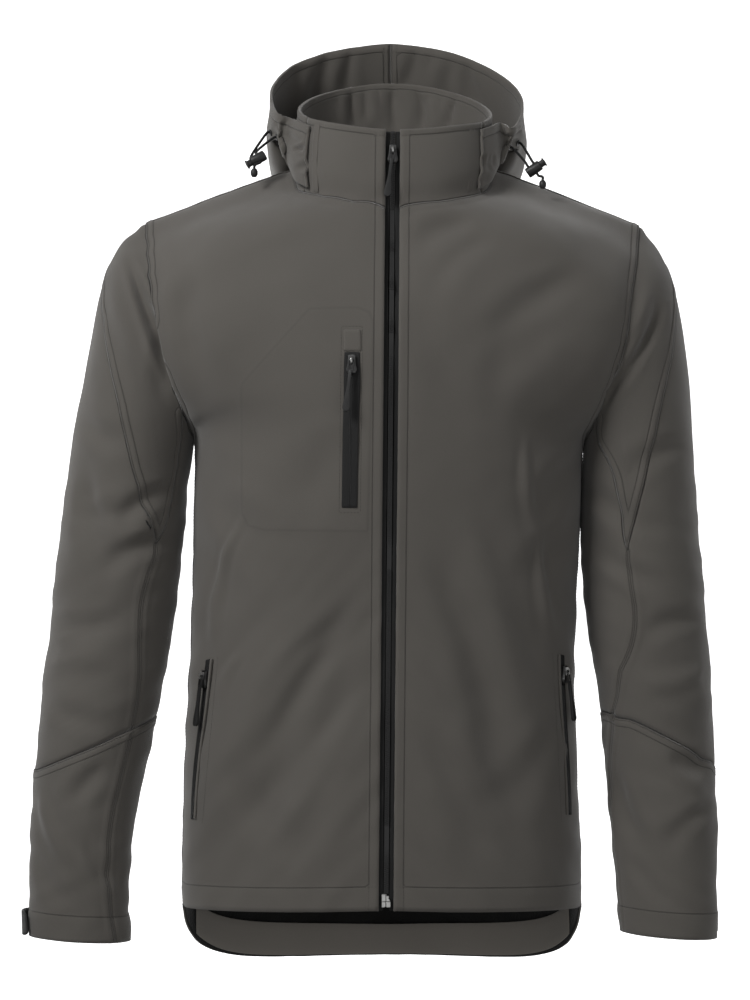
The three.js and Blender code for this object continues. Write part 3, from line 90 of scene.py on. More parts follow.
# Creases seen from the front or back: start, end, sideways bend, width and depth in millimetres
FRONT_CREASES = (
    ((-44, -416), (-128, -584), 8, 15, -2.6),
    ((-40, -478), (-142, -624), -6, 13, -2.2),
    ((-60, -440), (-120, -530), 6, 9, 1.3),
    ((-140, -332), (-167, -456), 10, 4.5, 1.5),
    ((-141, -455), (-163, -500), 4, 5, 1.0),
    ((-190, -104), (-178, -204), 6, 13, -2.2),
    ((-200, -225), (-150, -300), 10, 12, -1.4),
    ((-186, -280), (-120, -350), 8, 14, -1.3),
    ((-188, -330), (-140, -420), 6, 13, -1.2),
    ((-150, -560), (-80, -640), 8, 14, -1.2),
    ((-60, -560), (-120, -668), -6, 16, -1.4),
    ((-30, -250), (-90, -330), 8, 18, -1.0),
    ((72, -56), (16, -88), 6, 11, -2.2),
    ((88, -70), (30, -120), 8, 12, -1.4),
    ((170, -106), (84, -178), 8, 13, -1.6),
    ((150, -150), (80, -240), 10, 14, -1.1),
    ((44, -388), (104, -574), -10, 15, -2.8),
    ((80, -330), (140, -500), -8, 14, -1.8),
    ((30, -520), (84, -650), -6, 14, -1.6),
    ((122, -260), (136, -350), 6, 5, 1.3),
    ((136, -350), (150, -447), 5, 4.5, 1.5),
    ((184, -270), (130, -340), 8, 12, -1.5),
    ((176, -330), (120, -400), 6, 12, -1.2),
    ((150, -520), (90, -600), -6, 13, -1.2),
    ((20, -140), (60, -260), -8, 18, -1.0),
)
BACK_CREASES = (
    ((-40, -380), (-150, -560), 10, 16, -2.4),
    ((46, -400), (140, -585), -10, 16, -2.4),
    ((-10, -470), (20, -690), 6, 17, 1.8),
    ((-182, -130), (-90, -230), 8, 14, -2.2),
    ((178, -140), (92, -226), 8, 14, -2.2),
    ((-60, -250), (-130, -380), 6, 16, -1.6),
    ((70, -260), (130, -390), -6, 16, -1.5),
    ((-180, -300), (-110, -360), 8, 13, -1.5),
    ((174, -300), (106, -352), 8, 13, -1.6),
    ((-120, -560), (-60, -690), 8, 15, -1.5),
    ((110, -600), (50, -700), -8, 15, -1.4),
    ((-20, -90), (-70, -160), 6, 16, -1.2),
    ((30, -100), (90, -170), -6, 16, -1.1),
    ((0, -300), (24, -440), 8, 18, -1.2),
)
# Sleeve creases, the same but kept on the arms
SLEEVE_CREASES = (
    ((-246, -92), (-190, -224), 3, 5.5, -4.0),
    ((-262, -110), (-224, -196), 6, 10, 1.3),
    ((-214, -150), (-206, -225), 5, 8, -1.6),
    ((-286, -286), (-262, -376), 8, 11, -2.4),
    ((-300, -230), (-246, -262), 6, 10, -1.4),
    ((-304, -330), (-216, -300), 8, 9, -1.2),
    ((-206, -300), (-260, -345), 6, 8, -1.4),
    ((-210, -350), (-276, -388), 8, 9, -1.6),
    ((-326, -430), (-252, -424), 5, 8, -2.2),
    ((-330, -470), (-256, -462), -5, 8, 1.6),
    ((-330, -500), (-262, -520), 6, 8, -1.8),
    ((-330, -586), (-296, -655), 5, 7, 2.0),
    ((-268, -560), (-300, -600), 4, 8, -1.6),
    ((-286, -632), (-250, -676), 4, 6, -1.3),
    ((-336, -640), (-300, -690), 4, 8, -1.2),
    ((251, -136), (185, -229), -6, 5, -2.0),
    ((238, -120), (196, -200), -6, 9, 1.0),
    ((250, -120), (222, -180), -6, 9, -1.6),
    ((280, -260), (214, -296), 8, 9, -1.4),
    ((186, -300), (250, -350), 6, 9, -1.6),
    ((190, -356), (262, -392), 8, 9, -1.6),
    ((292, -424), (230, -440), 5, 8, -2.0),
    ((296, -470), (222, -486), -5, 8, 1.5),
    ((258, -552), (298, -560), 5, 9, -2.6),
    ((208, -570), (236, -642), 6, 8, -2.4),
    ((296, -600), (250, -640), 5, 8, -1.4),
    ((222, -650), (264, -690), 4, 7, -1.3),
)

# Soft folds inside the back of the collar, seen from the front
COLLAR_CREASES = (
    ((-41, 84), (-37, 44), 2, 5, 1.9),
    ((-22, 86), (-20, 48), -2, 5, -1.5),
    ((0, 88), (5, 40), 2, 6, 2.1),
    ((24, 86), (28, 46), -2, 5, 1.7),
    ((41, 80), (45, 40), 2, 5, -1.4),
    ((62, 76), (56, 42), 2, 4.5, 1.8),
)
HOOD_BACK_CREASES = (
    ((-64, 128), (-74, 70), 4, 7, 2.4),
    ((-40, 133), (-46, 84), 3, 6, 1.9),
    ((-86, 112), (-94, 60), 3, 7, -1.8),
    ((24, 134), (8, 92), -3, 7, 1.9),
    ((52, 128), (40, 80), 4, 8, -1.6),
    ((74, 118), (90, 70), 4, 7, 2.2),
    ((4, 60), (24, -24), 8, 15, -2.8),
    ((-64, 44), (-42, -22), 8, 13, -2.6),
    ((62, 46), (50, -26), -6, 13, -2.4),
    ((-30, 30), (-16, -34), 5, 11, 1.8),
)
# Puckers of the hood's tabs and of its tunnel by the eyelets
HOOD_FRONT_CREASES = (
    ((-92, -2), (-68, 8), 3, 4.5, -2.2),
    ((-94, 18), (-84, 17), 1, 2.6, -2.4),
    ((-100, 34), (-88, 22), 2, 3.0, -1.6),
    ((-112, 46), (-106, 30), 2, 3.2, -1.6),
    ((-104, 50), (-98, 34), -2, 3.2, 1.3),
    ((-80, -12), (-74, 18), 3, 6, 1.2),
    ((86, 11), (85, -4), 1, 2.2, -1.6),
    ((91, 11), (90, -5), 1, 2.2, -1.6),
    ((95, 12), (95, -2), 1, 2.2, -1.4),
    ((112, 34), (108, 20), 2, 3.0, -1.5),
    ((120, 42), (117, 26), -2, 3.2, -1.5),
    ((70, -14), (94, -10), 2, 4, -1.2),
)
# Outline that the chest pocket's bag presses into the cloth, and how far the cloth stands up over it
BAG_RISE = 0.4
POCKET_BAG = (
    (-140, -208), (-77, -138.5), (-33, -137.5), (-22, -142), (-18.5, -152),
    (-24, -342), (-118, -341), (-134, -337), (-140, -325),
)


class StudioSettings(bpy.types.PropertyGroup):
    floor: bpy.props.FloatVectorProperty(
        name="Floor", description="Colour of the floor and its backdrop",
        default=(0.86, 0.86, 0.86), subtype="COLOR")
    key: bpy.props.FloatProperty(
        name="Key light", description="Strength of the soft, narrowed light high on the left", default=7.4,
        unit="POWER")
    fill: bpy.props.FloatProperty(
        name="Fill light", description="Strength of the weaker light on the right",
        default=10.0, unit="POWER")
    sky: bpy.props.FloatProperty(
        name="Sky", description="Strength of the even light from all round", default=0.24)
    glow: bpy.props.FloatProperty(
        name="Backdrop glow", description="Light that the floor and backdrop give off themselves",
        default=0.95)
    distance: bpy.props.FloatProperty(
        name="Camera distance", description="From the camera to the shoulders' plane",
        default=3.3, unit="LENGTH")
    lens: bpy.props.FloatProperty(
        name="Lens", description="Focal length of the camera", default=125.0, unit="CAMERA")


class ClothSettings(bpy.types.PropertyGroup):
    shell: bpy.props.FloatVectorProperty(
        name="Shell", description="Colour of the outer cloth",
        default=(0.096, 0.0885, 0.0785), subtype="COLOR")
    lining: bpy.props.FloatVectorProperty(
        name="Lining", description="Colour of the fleece inside",
        default=(0.009, 0.009, 0.0085), subtype="COLOR")
    creasing: bpy.props.FloatProperty(
        name="Creasing", description="Depth of the creases against their tables", default=1.9)
    thread_pitch: bpy.props.FloatProperty(
        name="Stitch pitch", description="Distance from one stitch to the next",
        default=0.0031, unit="LENGTH")
    thread_width: bpy.props.FloatProperty(
        name="Thread width", description="Thickness of the sewing thread", default=0.00042, unit="LENGTH")


class TrimSettings(bpy.types.PropertyGroup):
    tape: bpy.props.FloatVectorProperty(
        name="Zip tape", description="Colour of the zip tapes",
        default=(0.012, 0.012, 0.012), subtype="COLOR")
    metal: bpy.props.FloatVectorProperty(
        name="Slider metal", description="Colour of the dark sliders",
        default=(0.13, 0.13, 0.13), subtype="COLOR")
    # The zip box is plated in this colour; on the slider bridges the same colour is a painted highlight
    silver: bpy.props.FloatVectorProperty(
        name="Silver", description="Colour of the zip box and the slider bridges", default=(0.5, 0.5, 0.49),
        subtype="COLOR")
    plastic: bpy.props.FloatVectorProperty(
        name="Plastic", description="Colour of pulls, locks and beads", default=(0.012, 0.012, 0.012),
        subtype="COLOR")
    tooth_pitch: bpy.props.FloatProperty(
        name="Tooth pitch", description="Distance from one zip tooth to the next",
        default=0.0017, unit="LENGTH")


class Wire:
    """A socket of a material. Sums on it add Math nodes."""

    def __init__(self, paint, socket):
        self.paint = paint
        self.socket = socket

    def math(self, operation, *values):
        return self.paint.node("ShaderNodeMath", {"operation": operation}, values)

    def __add__(self, other):
        return self.math("ADD", self, other)

    def __sub__(self, other):
        return self.math("SUBTRACT", self, other)

    def __rsub__(self, other):
        return self.math("SUBTRACT", other, self)

    def __mul__(self, other):
        return self.math("MULTIPLY", self, other)

    __radd__ = __add__
    __rmul__ = __mul__

    def sine(self):
        return self.math("SINE", self)

    def size(self):
        return self.math("ABSOLUTE", self)


class Paint:
    """A node material, built in code."""

    def __init__(self, name):
        self.material = bpy.data.materials.new(name)
        self.material.use_nodes = True
        self.tree = self.material.node_tree
        self.shader = next(n for n in self.tree.nodes if n.type == "BSDF_PRINCIPLED")

    def node(self, kind, settings=None, inputs=(), output=0):
        made = self.tree.nodes.new(kind)
        for key, value in (settings or {}).items():
            setattr(made, key, value)
        self.feed(made, inputs.items() if isinstance(inputs, dict) else enumerate(inputs))
        return Wire(self, made.outputs[output])

    def feed(self, node, values):
        for key, value in values:
            if isinstance(value, Wire):
                self.tree.links.new(value.socket, node.inputs[key])
            else:
                node.inputs[key].default_value = value

    def mix(self, factor, low, high):
        return self.node("ShaderNodeMix", {"data_type": "RGBA"}, {0: factor, 6: low, 7: high}, 2)

    def noise(self, place, scale, detail=2.0):
        return self.node("ShaderNodeTexNoise", {}, {"Vector": place, "Scale": scale, "Detail": detail}, "Fac")

    def attribute(self, name):
        return self.node("ShaderNodeAttribute", {"attribute_name": name}, (), "Fac")

    def line(self, distance, sharpness):
        """One where a distance in millimetres is zero, fading to nothing on both sides."""
        fade = distance.size() * sharpness
        return self.node("ShaderNodeMath", {"operation": "SUBTRACT", "use_clamp": True}, [1.0, fade])

    def bump(self, height, distance, strength=1.0):
        return self.node("ShaderNodeBump", {}, {"Height": height, "Distance": distance, "Strength": strength})

    def finish(self, values):
        self.feed(self.shader, values.items())
        return self.material


PAINTS = {}

# The hem facing's colour against the shell's: painted lighter, as painted light that makes up for the fronts'
# shadow over it
FACING_PAINTED_LIGHTER = 2.6


def shade(colour, times):
    return tuple(c * times for c in colour[:3]) + (1.0,)


def shell_paint(name, colour):
    """Close matt face of bonded cloth: fine weave, faint blotches, grooves along seams and stitch rows with
    painted shade in them, and a line of painted shade round the chest pocket's bag.
    """
    paint = Paint(name)
    place = paint.node("ShaderNodeTexCoord", output="Object")
    flat = paint.node("ShaderNodeSeparateXYZ", {}, [paint.node("ShaderNodeTexCoord", output="UV")])
    along = paint.node("ShaderNodeSeparateXYZ", {}, [paint.node("ShaderNodeTexCoord", output="UV")], 1)
    blotch = paint.noise(place, 11.0)
    grain = paint.noise(place, 900.0)
    thread = 2 * math.pi / 0.0009
    weave = (flat * thread).sine() * (along * thread).sine()
    groove = paint.line(paint.attribute("seam"), 0.9)
    rows = paint.line(paint.attribute("row_near"), 1.1) + paint.line(paint.attribute("row_far"), 1.1)
    tone = blotch * 0.5 + grain * 0.5
    base = paint.mix(tone, shade(colour, 0.84), shade(colour, 1.16))
    # Darker in the seams' grooves: painted shade
    base = paint.mix(groove * 0.6, base, shade(colour, 0.25))
    # Darker along the stitch rows: painted shade in the grooves that the stitches pull into the cloth
    base = paint.mix(rows * 0.42, base, shade(colour, 0.3))
    # Darker along the chest pocket bag's outline: painted shade where the cloth steps up over the bag
    base = paint.mix(paint.line(paint.attribute("press"), 0.55) * 0.2, base, shade(colour, 0.45))
    height = grain * 0.5 + weave * 0.18 - groove * 3.0 - rows * 2.4
    return paint.finish({
        "Base Color": base,
        "Roughness": 0.74 + grain * 0.14,
        "Normal": paint.bump(height, 0.00022, 0.9),
        "Sheen Weight": 0.22,
        "Sheen Roughness": 0.55,
        "Specular IOR Level": 0.28,
    })


def fleece_paint(name, colour):
    """Short brushed pile inside the body."""
    paint = Paint(name)
    place = paint.node("ShaderNodeTexCoord", output="Object")
    pile = paint.noise(place, 520.0, 3.0)
    tuft = paint.noise(place, 90.0)
    base = paint.mix(pile * 0.6 + tuft * 0.4, shade(colour, 0.6), shade(colour, 1.6))
    return paint.finish({
        "Base Color": base, "Roughness": 0.95, "Normal": paint.bump(pile, 0.0007),
        "Sheen Weight": 0.3, "Specular IOR Level": 0.15,
    })


def tape_paint(name, colour):
    """Woven zip tape: fine ribs along it and a slight gloss."""
    paint = Paint(name)
    place = paint.node("ShaderNodeTexCoord", output="Object")
    across = paint.node("ShaderNodeSeparateXYZ", {}, [place])
    down = paint.node("ShaderNodeSeparateXYZ", {}, [place], 2)
    ribs = (across * (2 * math.pi / 0.0011)).sine() * 0.6 + (down * (2 * math.pi / 0.0008)).sine() * 0.4
    grain = paint.noise(place, 800.0)
    base = paint.mix(grain, shade(colour, 0.7), shade(colour, 1.5))
    return paint.finish({
        "Base Color": base, "Roughness": 0.62 + grain * 0.2, "Normal": paint.bump(ribs, 0.00012, 0.8),
        "Specular IOR Level": 0.3,
    })


def moulded_paint(name, colour, roughness=0.42):
    """Moulded black plastic or rubber with a fine grained skin."""
    paint = Paint(name)
    place = paint.node("ShaderNodeTexCoord", output="Object")
    skin = paint.noise(place, 1400.0)
    wear = paint.noise(place, 160.0)
    base = paint.mix(wear, shade(colour, 0.8), shade(colour, 1.5))
    return paint.finish({
        "Base Color": base, "Roughness": roughness + wear * 0.16, "Normal": paint.bump(skin, 0.00005, 0.6),
        "Specular IOR Level": 0.45,
    })


def metal_paint(name, colour):
    """Plated metal with faint wear."""
    paint = Paint(name)
    place = paint.node("ShaderNodeTexCoord", output="Object")
    wear = paint.noise(place, 260.0, 4.0)
    base = paint.mix(wear, shade(colour, 0.82), shade(colour, 1.12))
    return paint.finish({
        "Base Color": base, "Metallic": 1.0, "Roughness": 0.22 + wear * 0.2,
        "Normal": paint.bump(wear, 0.00004, 0.4),
    })


# Where the zip box's pin meets the box, and its cross groove, in millimetres: the lines along which the box's
# paint lays painted shade
BOX_SPLIT = -7.2
BOX_GROOVE = -679.5


def box_paint(name, colour):
    """Plated metal of a zip's box and pin, with painted shade along the split between them and along the
    cross groove.
    """
    paint = Paint(name)
    place = paint.node("ShaderNodeTexCoord", output="Object")
    across = paint.node("ShaderNodeSeparateXYZ", {}, [place])
    down = paint.node("ShaderNodeSeparateXYZ", {}, [place], 2)
    grooves = paint.line(across * 1000 - BOX_SPLIT, 1.7) + paint.line(down * 1000 - BOX_GROOVE, 1.7)
    wear = paint.noise(place, 260.0, 4.0)
    base = paint.mix(wear, shade(colour, 0.82), shade(colour, 1.12))
    return paint.finish({
        # Darker along the split and the cross groove: painted shade
        "Base Color": paint.mix(grooves * 0.8, base, shade(colour, 0.12)), "Metallic": 1.0,
        "Roughness": 0.3 + wear * 0.2, "Normal": paint.bump(wear - grooves * 4.0, 0.0002, 0.6),
    })


def cord_paint(name, colour):
    """Braided cord: a diamond braid over its own length and girth."""
    paint = Paint(name)
    flat = paint.node("ShaderNodeTexCoord", output="UV")
    around = paint.node("ShaderNodeSeparateXYZ", {}, [flat])
    down = paint.node("ShaderNodeSeparateXYZ", {}, [flat], 1)
    braid = (around + down).sine() * (around - down).sine()
    base = paint.mix(braid * 0.5 + 0.5, shade(colour, 0.6), shade(colour, 1.7))
    return paint.finish({
        "Base Color": base, "Roughness": 0.7, "Normal": paint.bump(braid, 0.00025), "Specular IOR Level": 0.3,
    })


def make_paints():
    cloth = bpy.context.scene.jacket_cloth
    trim = bpy.context.scene.jacket_trim
    PAINTS["shell"] = shell_paint("softshell_face", cloth.shell)
    # The facing is the shell's own cloth, painted lighter: painted light in place of the light the fronts'
    # shadow takes from it
    PAINTS["facing"] = shell_paint("facing_cloth_painted_lighter", shade(cloth.shell, FACING_PAINTED_LIGHTER))
    # The thread is painted at half the shell's colour so its rows read as dark lines: painted shade of the
    # grooves that the stitches pull into the cloth
    PAINTS["thread"] = moulded_paint("sewing_thread", shade(cloth.shell, 0.5), 0.6)
    PAINTS["fleece"] = fleece_paint("fleece_lining", cloth.lining)
    PAINTS["tape"] = tape_paint("zip_tape_weave", trim.tape)
    PAINTS["teeth"] = moulded_paint("zip_teeth_nylon", trim.tape, 0.35)
    PAINTS["metal"] = metal_paint("dark_plated_metal", trim.metal)
    # Brighter metal for the slider bridges: a painted highlight on the dark sliders
    PAINTS["silver"] = metal_paint("bridge_painted_highlight_metal", trim.silver)
    PAINTS["box"] = box_paint("zip_box_metal", shade(trim.silver, 1.2))
    PAINTS["plastic"] = moulded_paint("moulded_plastic", trim.plastic)
    PAINTS["rubber"] = moulded_paint("moulded_rubber", trim.plastic, 0.55)
    PAINTS["cord"] = cord_paint("braided_cord", trim.plastic)


def place_piece(name, mesh, paints, slot, body="jacket", replaces=()):
    """Puts a mesh in the scene as a piece that rides on a body."""
    piece = bpy.data.objects.new(name, mesh)
    bpy.context.scene.collection.objects.link(piece)
    for paint in paints:
        mesh.materials.append(PAINTS[paint])
    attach(piece, body)
    if replaces:
        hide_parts(*replaces)
    return piece


def declare_sheet(name):
    side = name[-1] if name[-2:] in ("_r", "_l") else ""
    (width, length, area), under = CUTS[name[:-2] if side else name]
    rests_on = [node.format(side) for node in under]


def mesh_from(name, points, faces, smooth=True):
    mesh = bpy.data.meshes.new(name)
    mesh.from_pydata([tuple(p) for p in points], [], [tuple(int(i) for i in f) for f in faces])
    mesh.validate()
    if smooth:
        mesh.polygons.foreach_set("use_smooth", [True] * len(mesh.polygons))
    mesh.update()
    return mesh


# Smooth cloth from the frame's walls

def merged_copy(name):
    """A copy of a node's mesh with its loose triangles joined at their corners."""
    copy = bmesh.new()
    copy.from_mesh(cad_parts[name].data)
    bmesh.ops.remove_doubles(copy, verts=copy.verts, dist=1e-5)
    return copy


def make_quads(sheet):
    """Joins the two triangles of each quad across their longest edge."""
    longest = {f: max(f.edges, key=lambda e: e.calc_length()) for f in sheet.faces}
    inside = [e for e in sheet.edges if len(e.link_faces) == 2 and all(longest[f] is e for f in e.link_faces)]
    bmesh.ops.dissolve_edges(sheet, edges=inside, use_verts=False, use_face_split=False)
    rest = [f for f in sheet.faces if len(f.verts) == 3]
    bmesh.ops.join_triangles(sheet, faces=rest, angle_face_threshold=math.pi, angle_shape_threshold=math.pi)


def islands(sheet):
    found, seen = [], set()
    for start in sheet.faces:
        if start in seen:
            continue
        seen.add(start)
        group, queue = [], [start]
        while queue:
            face = queue.pop()
            group.append(face)
            for edge in face.edges:
                for other in edge.link_faces:
                    if other not in seen:
                        seen.add(other)
                        queue.append(other)
        found.append(group)
    return found


def wall_of(name):
    return WALLS.get(name.split("_")[0], SHELL_WALL)


# How closely the length of a rim's cross edges matches the wall
RIM_MATCH = 0.004


def outer_sheet(name):
    """The outer layer of a node's wall, without its rim and inner layer."""
    sheet = merged_copy(name)
    wall = wall_of(name) * MM
    rim = [f for f in sheet.faces if any(abs(e.calc_length() / wall - 1) < RIM_MATCH for e in f.edges)]
    bmesh.ops.delete(sheet, geom=rim, context="FACES")
    layers = islands(sheet)
    outer = max(layers, key=lambda group: sum(f.calc_area() for f in group))
    for group in layers:
        if group is not outer:
            bmesh.ops.delete(sheet, geom=group, context="FACES")
    make_quads(sheet)
    return sheet


SEAM_WELD = 0.0009


def joined_sheets(names):
    whole = bmesh.new()
    for index, name in enumerate(names):
        sheet = outer_sheet(name)
        panel = sheet.faces.layers.int.new("panel")
        for face in sheet.faces:
            face[panel] = index
        mesh = bpy.data.meshes.new("panel")
        sheet.to_mesh(mesh)
        sheet.free()
        whole.from_mesh(mesh)
        bpy.data.meshes.remove(mesh)
    bmesh.ops.remove_doubles(whole, verts=whole.verts, dist=SEAM_WELD)
    return whole


def points_of(mesh):
    found = np.empty(len(mesh.vertices) * 3)
    mesh.vertices.foreach_get("co", found)
    return found.reshape(-1, 3)


def subdivided(coarse, levels):
    """The smooth surface through a coarse sheet's own points."""
    mesh = bpy.data.meshes.new("coarse")
    coarse.to_mesh(mesh)
    coarse.free()
    body = bpy.data.objects.new("coarse", mesh)
    bpy.context.scene.collection.objects.link(body)
    smooth = body.modifiers.new("smooth", "SUBSURF")
    smooth.levels = smooth.render_levels = levels
    smooth.boundary_smooth = "PRESERVE_CORNERS"
    wanted = points_of(mesh)
    fine = None
    for _ in range(3):
        bpy.context.view_layer.update()
        graph = bpy.context.evaluated_depsgraph_get()
        if fine:
            bpy.data.meshes.remove(fine)
        fine = bpy.data.meshes.new_from_object(body.evaluated_get(graph))
        missed = wanted - points_of(fine)[:len(wanted)]
        mesh.vertices.foreach_set("co", (points_of(mesh) + missed).ravel())
        mesh.update()
        body.update_tag()
    bpy.data.objects.remove(body)
    return fine


class Cloth:
    """Dense quads of several joined panels, in millimetres, creased together and then cut along the seams."""

    def __init__(self, names, levels):
        self.names = names
        fine = subdivided(joined_sheets(names), levels)
        self.points = points_of(fine) / MM
        loops = np.empty(len(fine.loops), int)
        fine.loops.foreach_get("vertex_index", loops)
        self.faces = loops.reshape(-1, 4)
        self.panel = np.empty(len(fine.polygons), int)
        fine.attributes["panel"].data.foreach_get("value", self.panel)
        bpy.data.meshes.remove(fine)
        self.find_edges()

    def find_edges(self):
        """Each edge's faces, to tell the seams and the open edges."""
        pairs = np.stack([self.faces, np.roll(self.faces, -1, axis=1)], axis=2).reshape(-1, 2)
        owner = np.repeat(np.arange(len(self.faces)), 4)
        pairs.sort(axis=1)
        self.edges, index = np.unique(pairs, axis=0, return_inverse=True)
        index = index.ravel()
        order = np.argsort(index, kind="stable")
        starts = np.searchsorted(index[order], np.arange(len(self.edges)))
        counts = np.bincount(index)
        first = self.panel[owner[order[starts]]]
        last = self.panel[owner[order[starts + counts - 1]]]
        self.edge_panels = np.stack([first, np.where(counts == 1, -1, last)], axis=1)

    def lines(self):
        """Edges on a seam or an open edge, with the names of the panels on both sides."""
        found = []
        for (a, b), (p, q) in zip(self.edges, self.edge_panels):
            if p != q:
                found.append((a, b, self.names[p], self.names[q] if q >= 0 else ""))
        return found


def normals_of(points, faces):
    across = np.cross(points[faces[:, 2]] - points[faces[:, 0]], points[faces[:, 3]] - points[faces[:, 1]])
    total = np.zeros_like(points)
    for corner in range(4):
        np.add.at(total, faces[:, corner], across)
    return total / np.maximum(np.linalg.norm(total, axis=1, keepdims=True), 1e-9)


def smoothstep(t):
    t = np.clip(t, 0, 1)
    return t * t * (3 - 2 * t)


def crease_height(points, crease):
    """A soft trough or ridge along a bent line, seen from the front, with a low shoulder on each side."""
    (x1, z1), (x2, z2), bend, width, depth = crease
    dx, dz = x2 - x1, z2 - z1
    length = math.hypot(dx, dz)
    t = ((points[:, 0] - x1) * dx + (points[:, 2] - z1) * dz) / length ** 2
    across = ((points[:, 0] - x1) * dz - (points[:, 2] - z1) * dx) / length
    across = across - bend * 4 * t * (1 - t) * (t > 0) * (t < 1)
    taper = smoothstep((t + 0.12) / 0.4) * smoothstep((1.12 - t) / 0.5)
    u = across / (width * (0.75 + 0.5 * np.clip(t, 0, 1)))
    shoulder = 0.38 * (np.exp(-((u - 1.75) / 0.8) ** 2) + 0.7 * np.exp(-((u + 1.75) / 0.8) ** 2))
    return depth * taper * (np.exp(-u * u) - shoulder)


def outline_depth(points, outline):
    """How deep each point lies inside an outline seen from the front, less than zero outside."""
    corners = np.array(outline, float)
    flat = points[:, [0, 2]]
    nearest = np.full(len(flat), 1e9)
    inside = np.zeros(len(flat), bool)
    for a, b in zip(corners, np.roll(corners, -1, axis=0)):
        t = np.clip(((flat - a) @ (b - a)) / ((b - a) @ (b - a)), 0, 1)
        nearest = np.minimum(nearest, np.linalg.norm(flat - a - t[:, None] * (b - a), axis=1))
        spans = (a[1] > flat[:, 1]) != (b[1] > flat[:, 1])
        with np.errstate(divide="ignore", invalid="ignore"):
            crossing = a[0] + (flat[:, 1] - a[1]) * (b[0] - a[0]) / (b[1] - a[1])
        inside ^= spans & (flat[:, 0] < crossing)
    return np.where(inside, nearest, -nearest)


def pressed_height(points, outline, height):
    """A faint flat rise inside an outline, soft at its edge."""
    depth = outline_depth(points, outline)
    return height * smoothstep((depth + 2.5) / 5.0) + 0.5 * height * np.exp(-((depth - 1.5) / 2.5) ** 2)


def rumple(points, scale, seed):
    """Smooth noise whose bumps are about as large as the scale, one number or one for each axis."""
    return np.array([noise.noise(Vector((x + seed, y, z))) for x, y, z in points / np.array(scale)])


def drag_lines(points, slant, scale, seed):
    """Noise stretched into streaks that run down and away from the middle at a slant."""
    out = np.abs(points[:, 0] - ZIP_FOOT[0])
    turn = math.radians(slant)
    across = out * math.cos(turn) + points[:, 2] * math.sin(turn)
    along = out * math.sin(turn) - points[:, 2] * math.cos(turn)
    return rumple(np.stack([across, points[:, 1], along], axis=1), scale, seed)


# Named lines on the cloth

def zip_x(z):
    share = (z - ZIP_FOOT[1]) / (ZIP_TOP[1] - ZIP_FOOT[1])
    return ZIP_FOOT[0] + (ZIP_TOP[0] - ZIP_FOOT[0]) * share


def without_side(name):
    return name[:-2] if name[-2:] in ("_r", "_l") else name


def line_name(a, b, p, q, points):
    """What a seam or open edge is on the jacket."""
    both = {without_side(p), without_side(q)}
    middle = (points[a] + points[b]) / 2
    if "" in both:
        kind = p.split("_")[0]
        if kind in ("front", "back", "collar"):
            if abs(middle[0] - zip_x(middle[2])) < 11 and middle[1] < 0 and kind != "back":
                step = points[b] - points[a]
                if abs(step[2]) > 0.6 * np.linalg.norm(step):
                    return "zip"
            return "collar_top" if kind == "collar" else "hem"
        if kind == "sleeve":
            return "cuff"
        step = points[b] - points[a]
        if middle[1] < -15 and abs(middle[0]) < 88 and abs(step[2]) > 0.8 * np.linalg.norm(step):
            return "hood_front"
        lowest = 33 if abs(middle[0]) > 100 and middle[1] < 60 else 22
        return "hood_edge" if middle[2] > lowest or middle[1] > 95 else "hood_neck"
    if any(n.startswith("sleeve") for n in both) and not all(n.startswith("sleeve") for n in both):
        return "armhole"
    if both == {"sleeve_cap", "sleeve_upper"}:
        return "cap"
    if both == {"sleeve_upper", "sleeve_lower"}:
        return "elbow"
    if both == {"front", "back"}:
        return "side" if middle[2] < -240 else "shoulder"
    if both == {"hood"}:
        return "crown"
    if both == {"collar_front", "collar_back"}:
        return "collar_side"
    return "neck"


def named_lines(cloth):
    """Edges of the cloth by the name of the line that they lie on."""
    found = {}
    for a, b, p, q in cloth.lines():
        found.setdefault(line_name(a, b, p, q, cloth.points), []).append((a, b))
    return found


def arm_seams(cloth, lines):
    """The seam under each forearm: straight down the quads from the shoulder cap's point to the cuff."""
    near = {}
    for a, b in cloth.edges:
        near.setdefault(a, []).append(b)
        near.setdefault(b, []).append(a)
    cuffs = {v for edge in lines["cuff"] for v in edge}
    found = []
    for side in SIDES:
        cap = [v for edge in lines["cap"] for v in edge if cloth.points[v][0] * MIRROR[side] > 0]
        here = min(cap, key=lambda v: cloth.points[v][2])
        heading = np.array([0.0, 0.0, -1.0])
        while here not in cuffs:
            steps = [(v, cloth.points[v] - cloth.points[here]) for v in near[here]]
            best = max(steps, key=lambda s: s[1] @ heading / np.linalg.norm(s[1]))
            found.append((here, best[0]))
            here, heading = best[0], best[1] / np.linalg.norm(best[1])
    return found


def distance_to(points, cloth, edges):
    """Distance of each point to a line of edges, in millimetres."""
    samples = []
    for a, b in edges:
        p, q = cloth.points[a], cloth.points[b]
        count = max(int(np.linalg.norm(q - p) / 0.5), 1)
        samples += [p + (q - p) * (k / count) for k in range(count)]
    tree = KDTree(len(samples))
    for index, sample in enumerate(samples):
        tree.insert(sample, index)
    tree.balance()
    return np.array([tree.find(p)[2] for p in points])


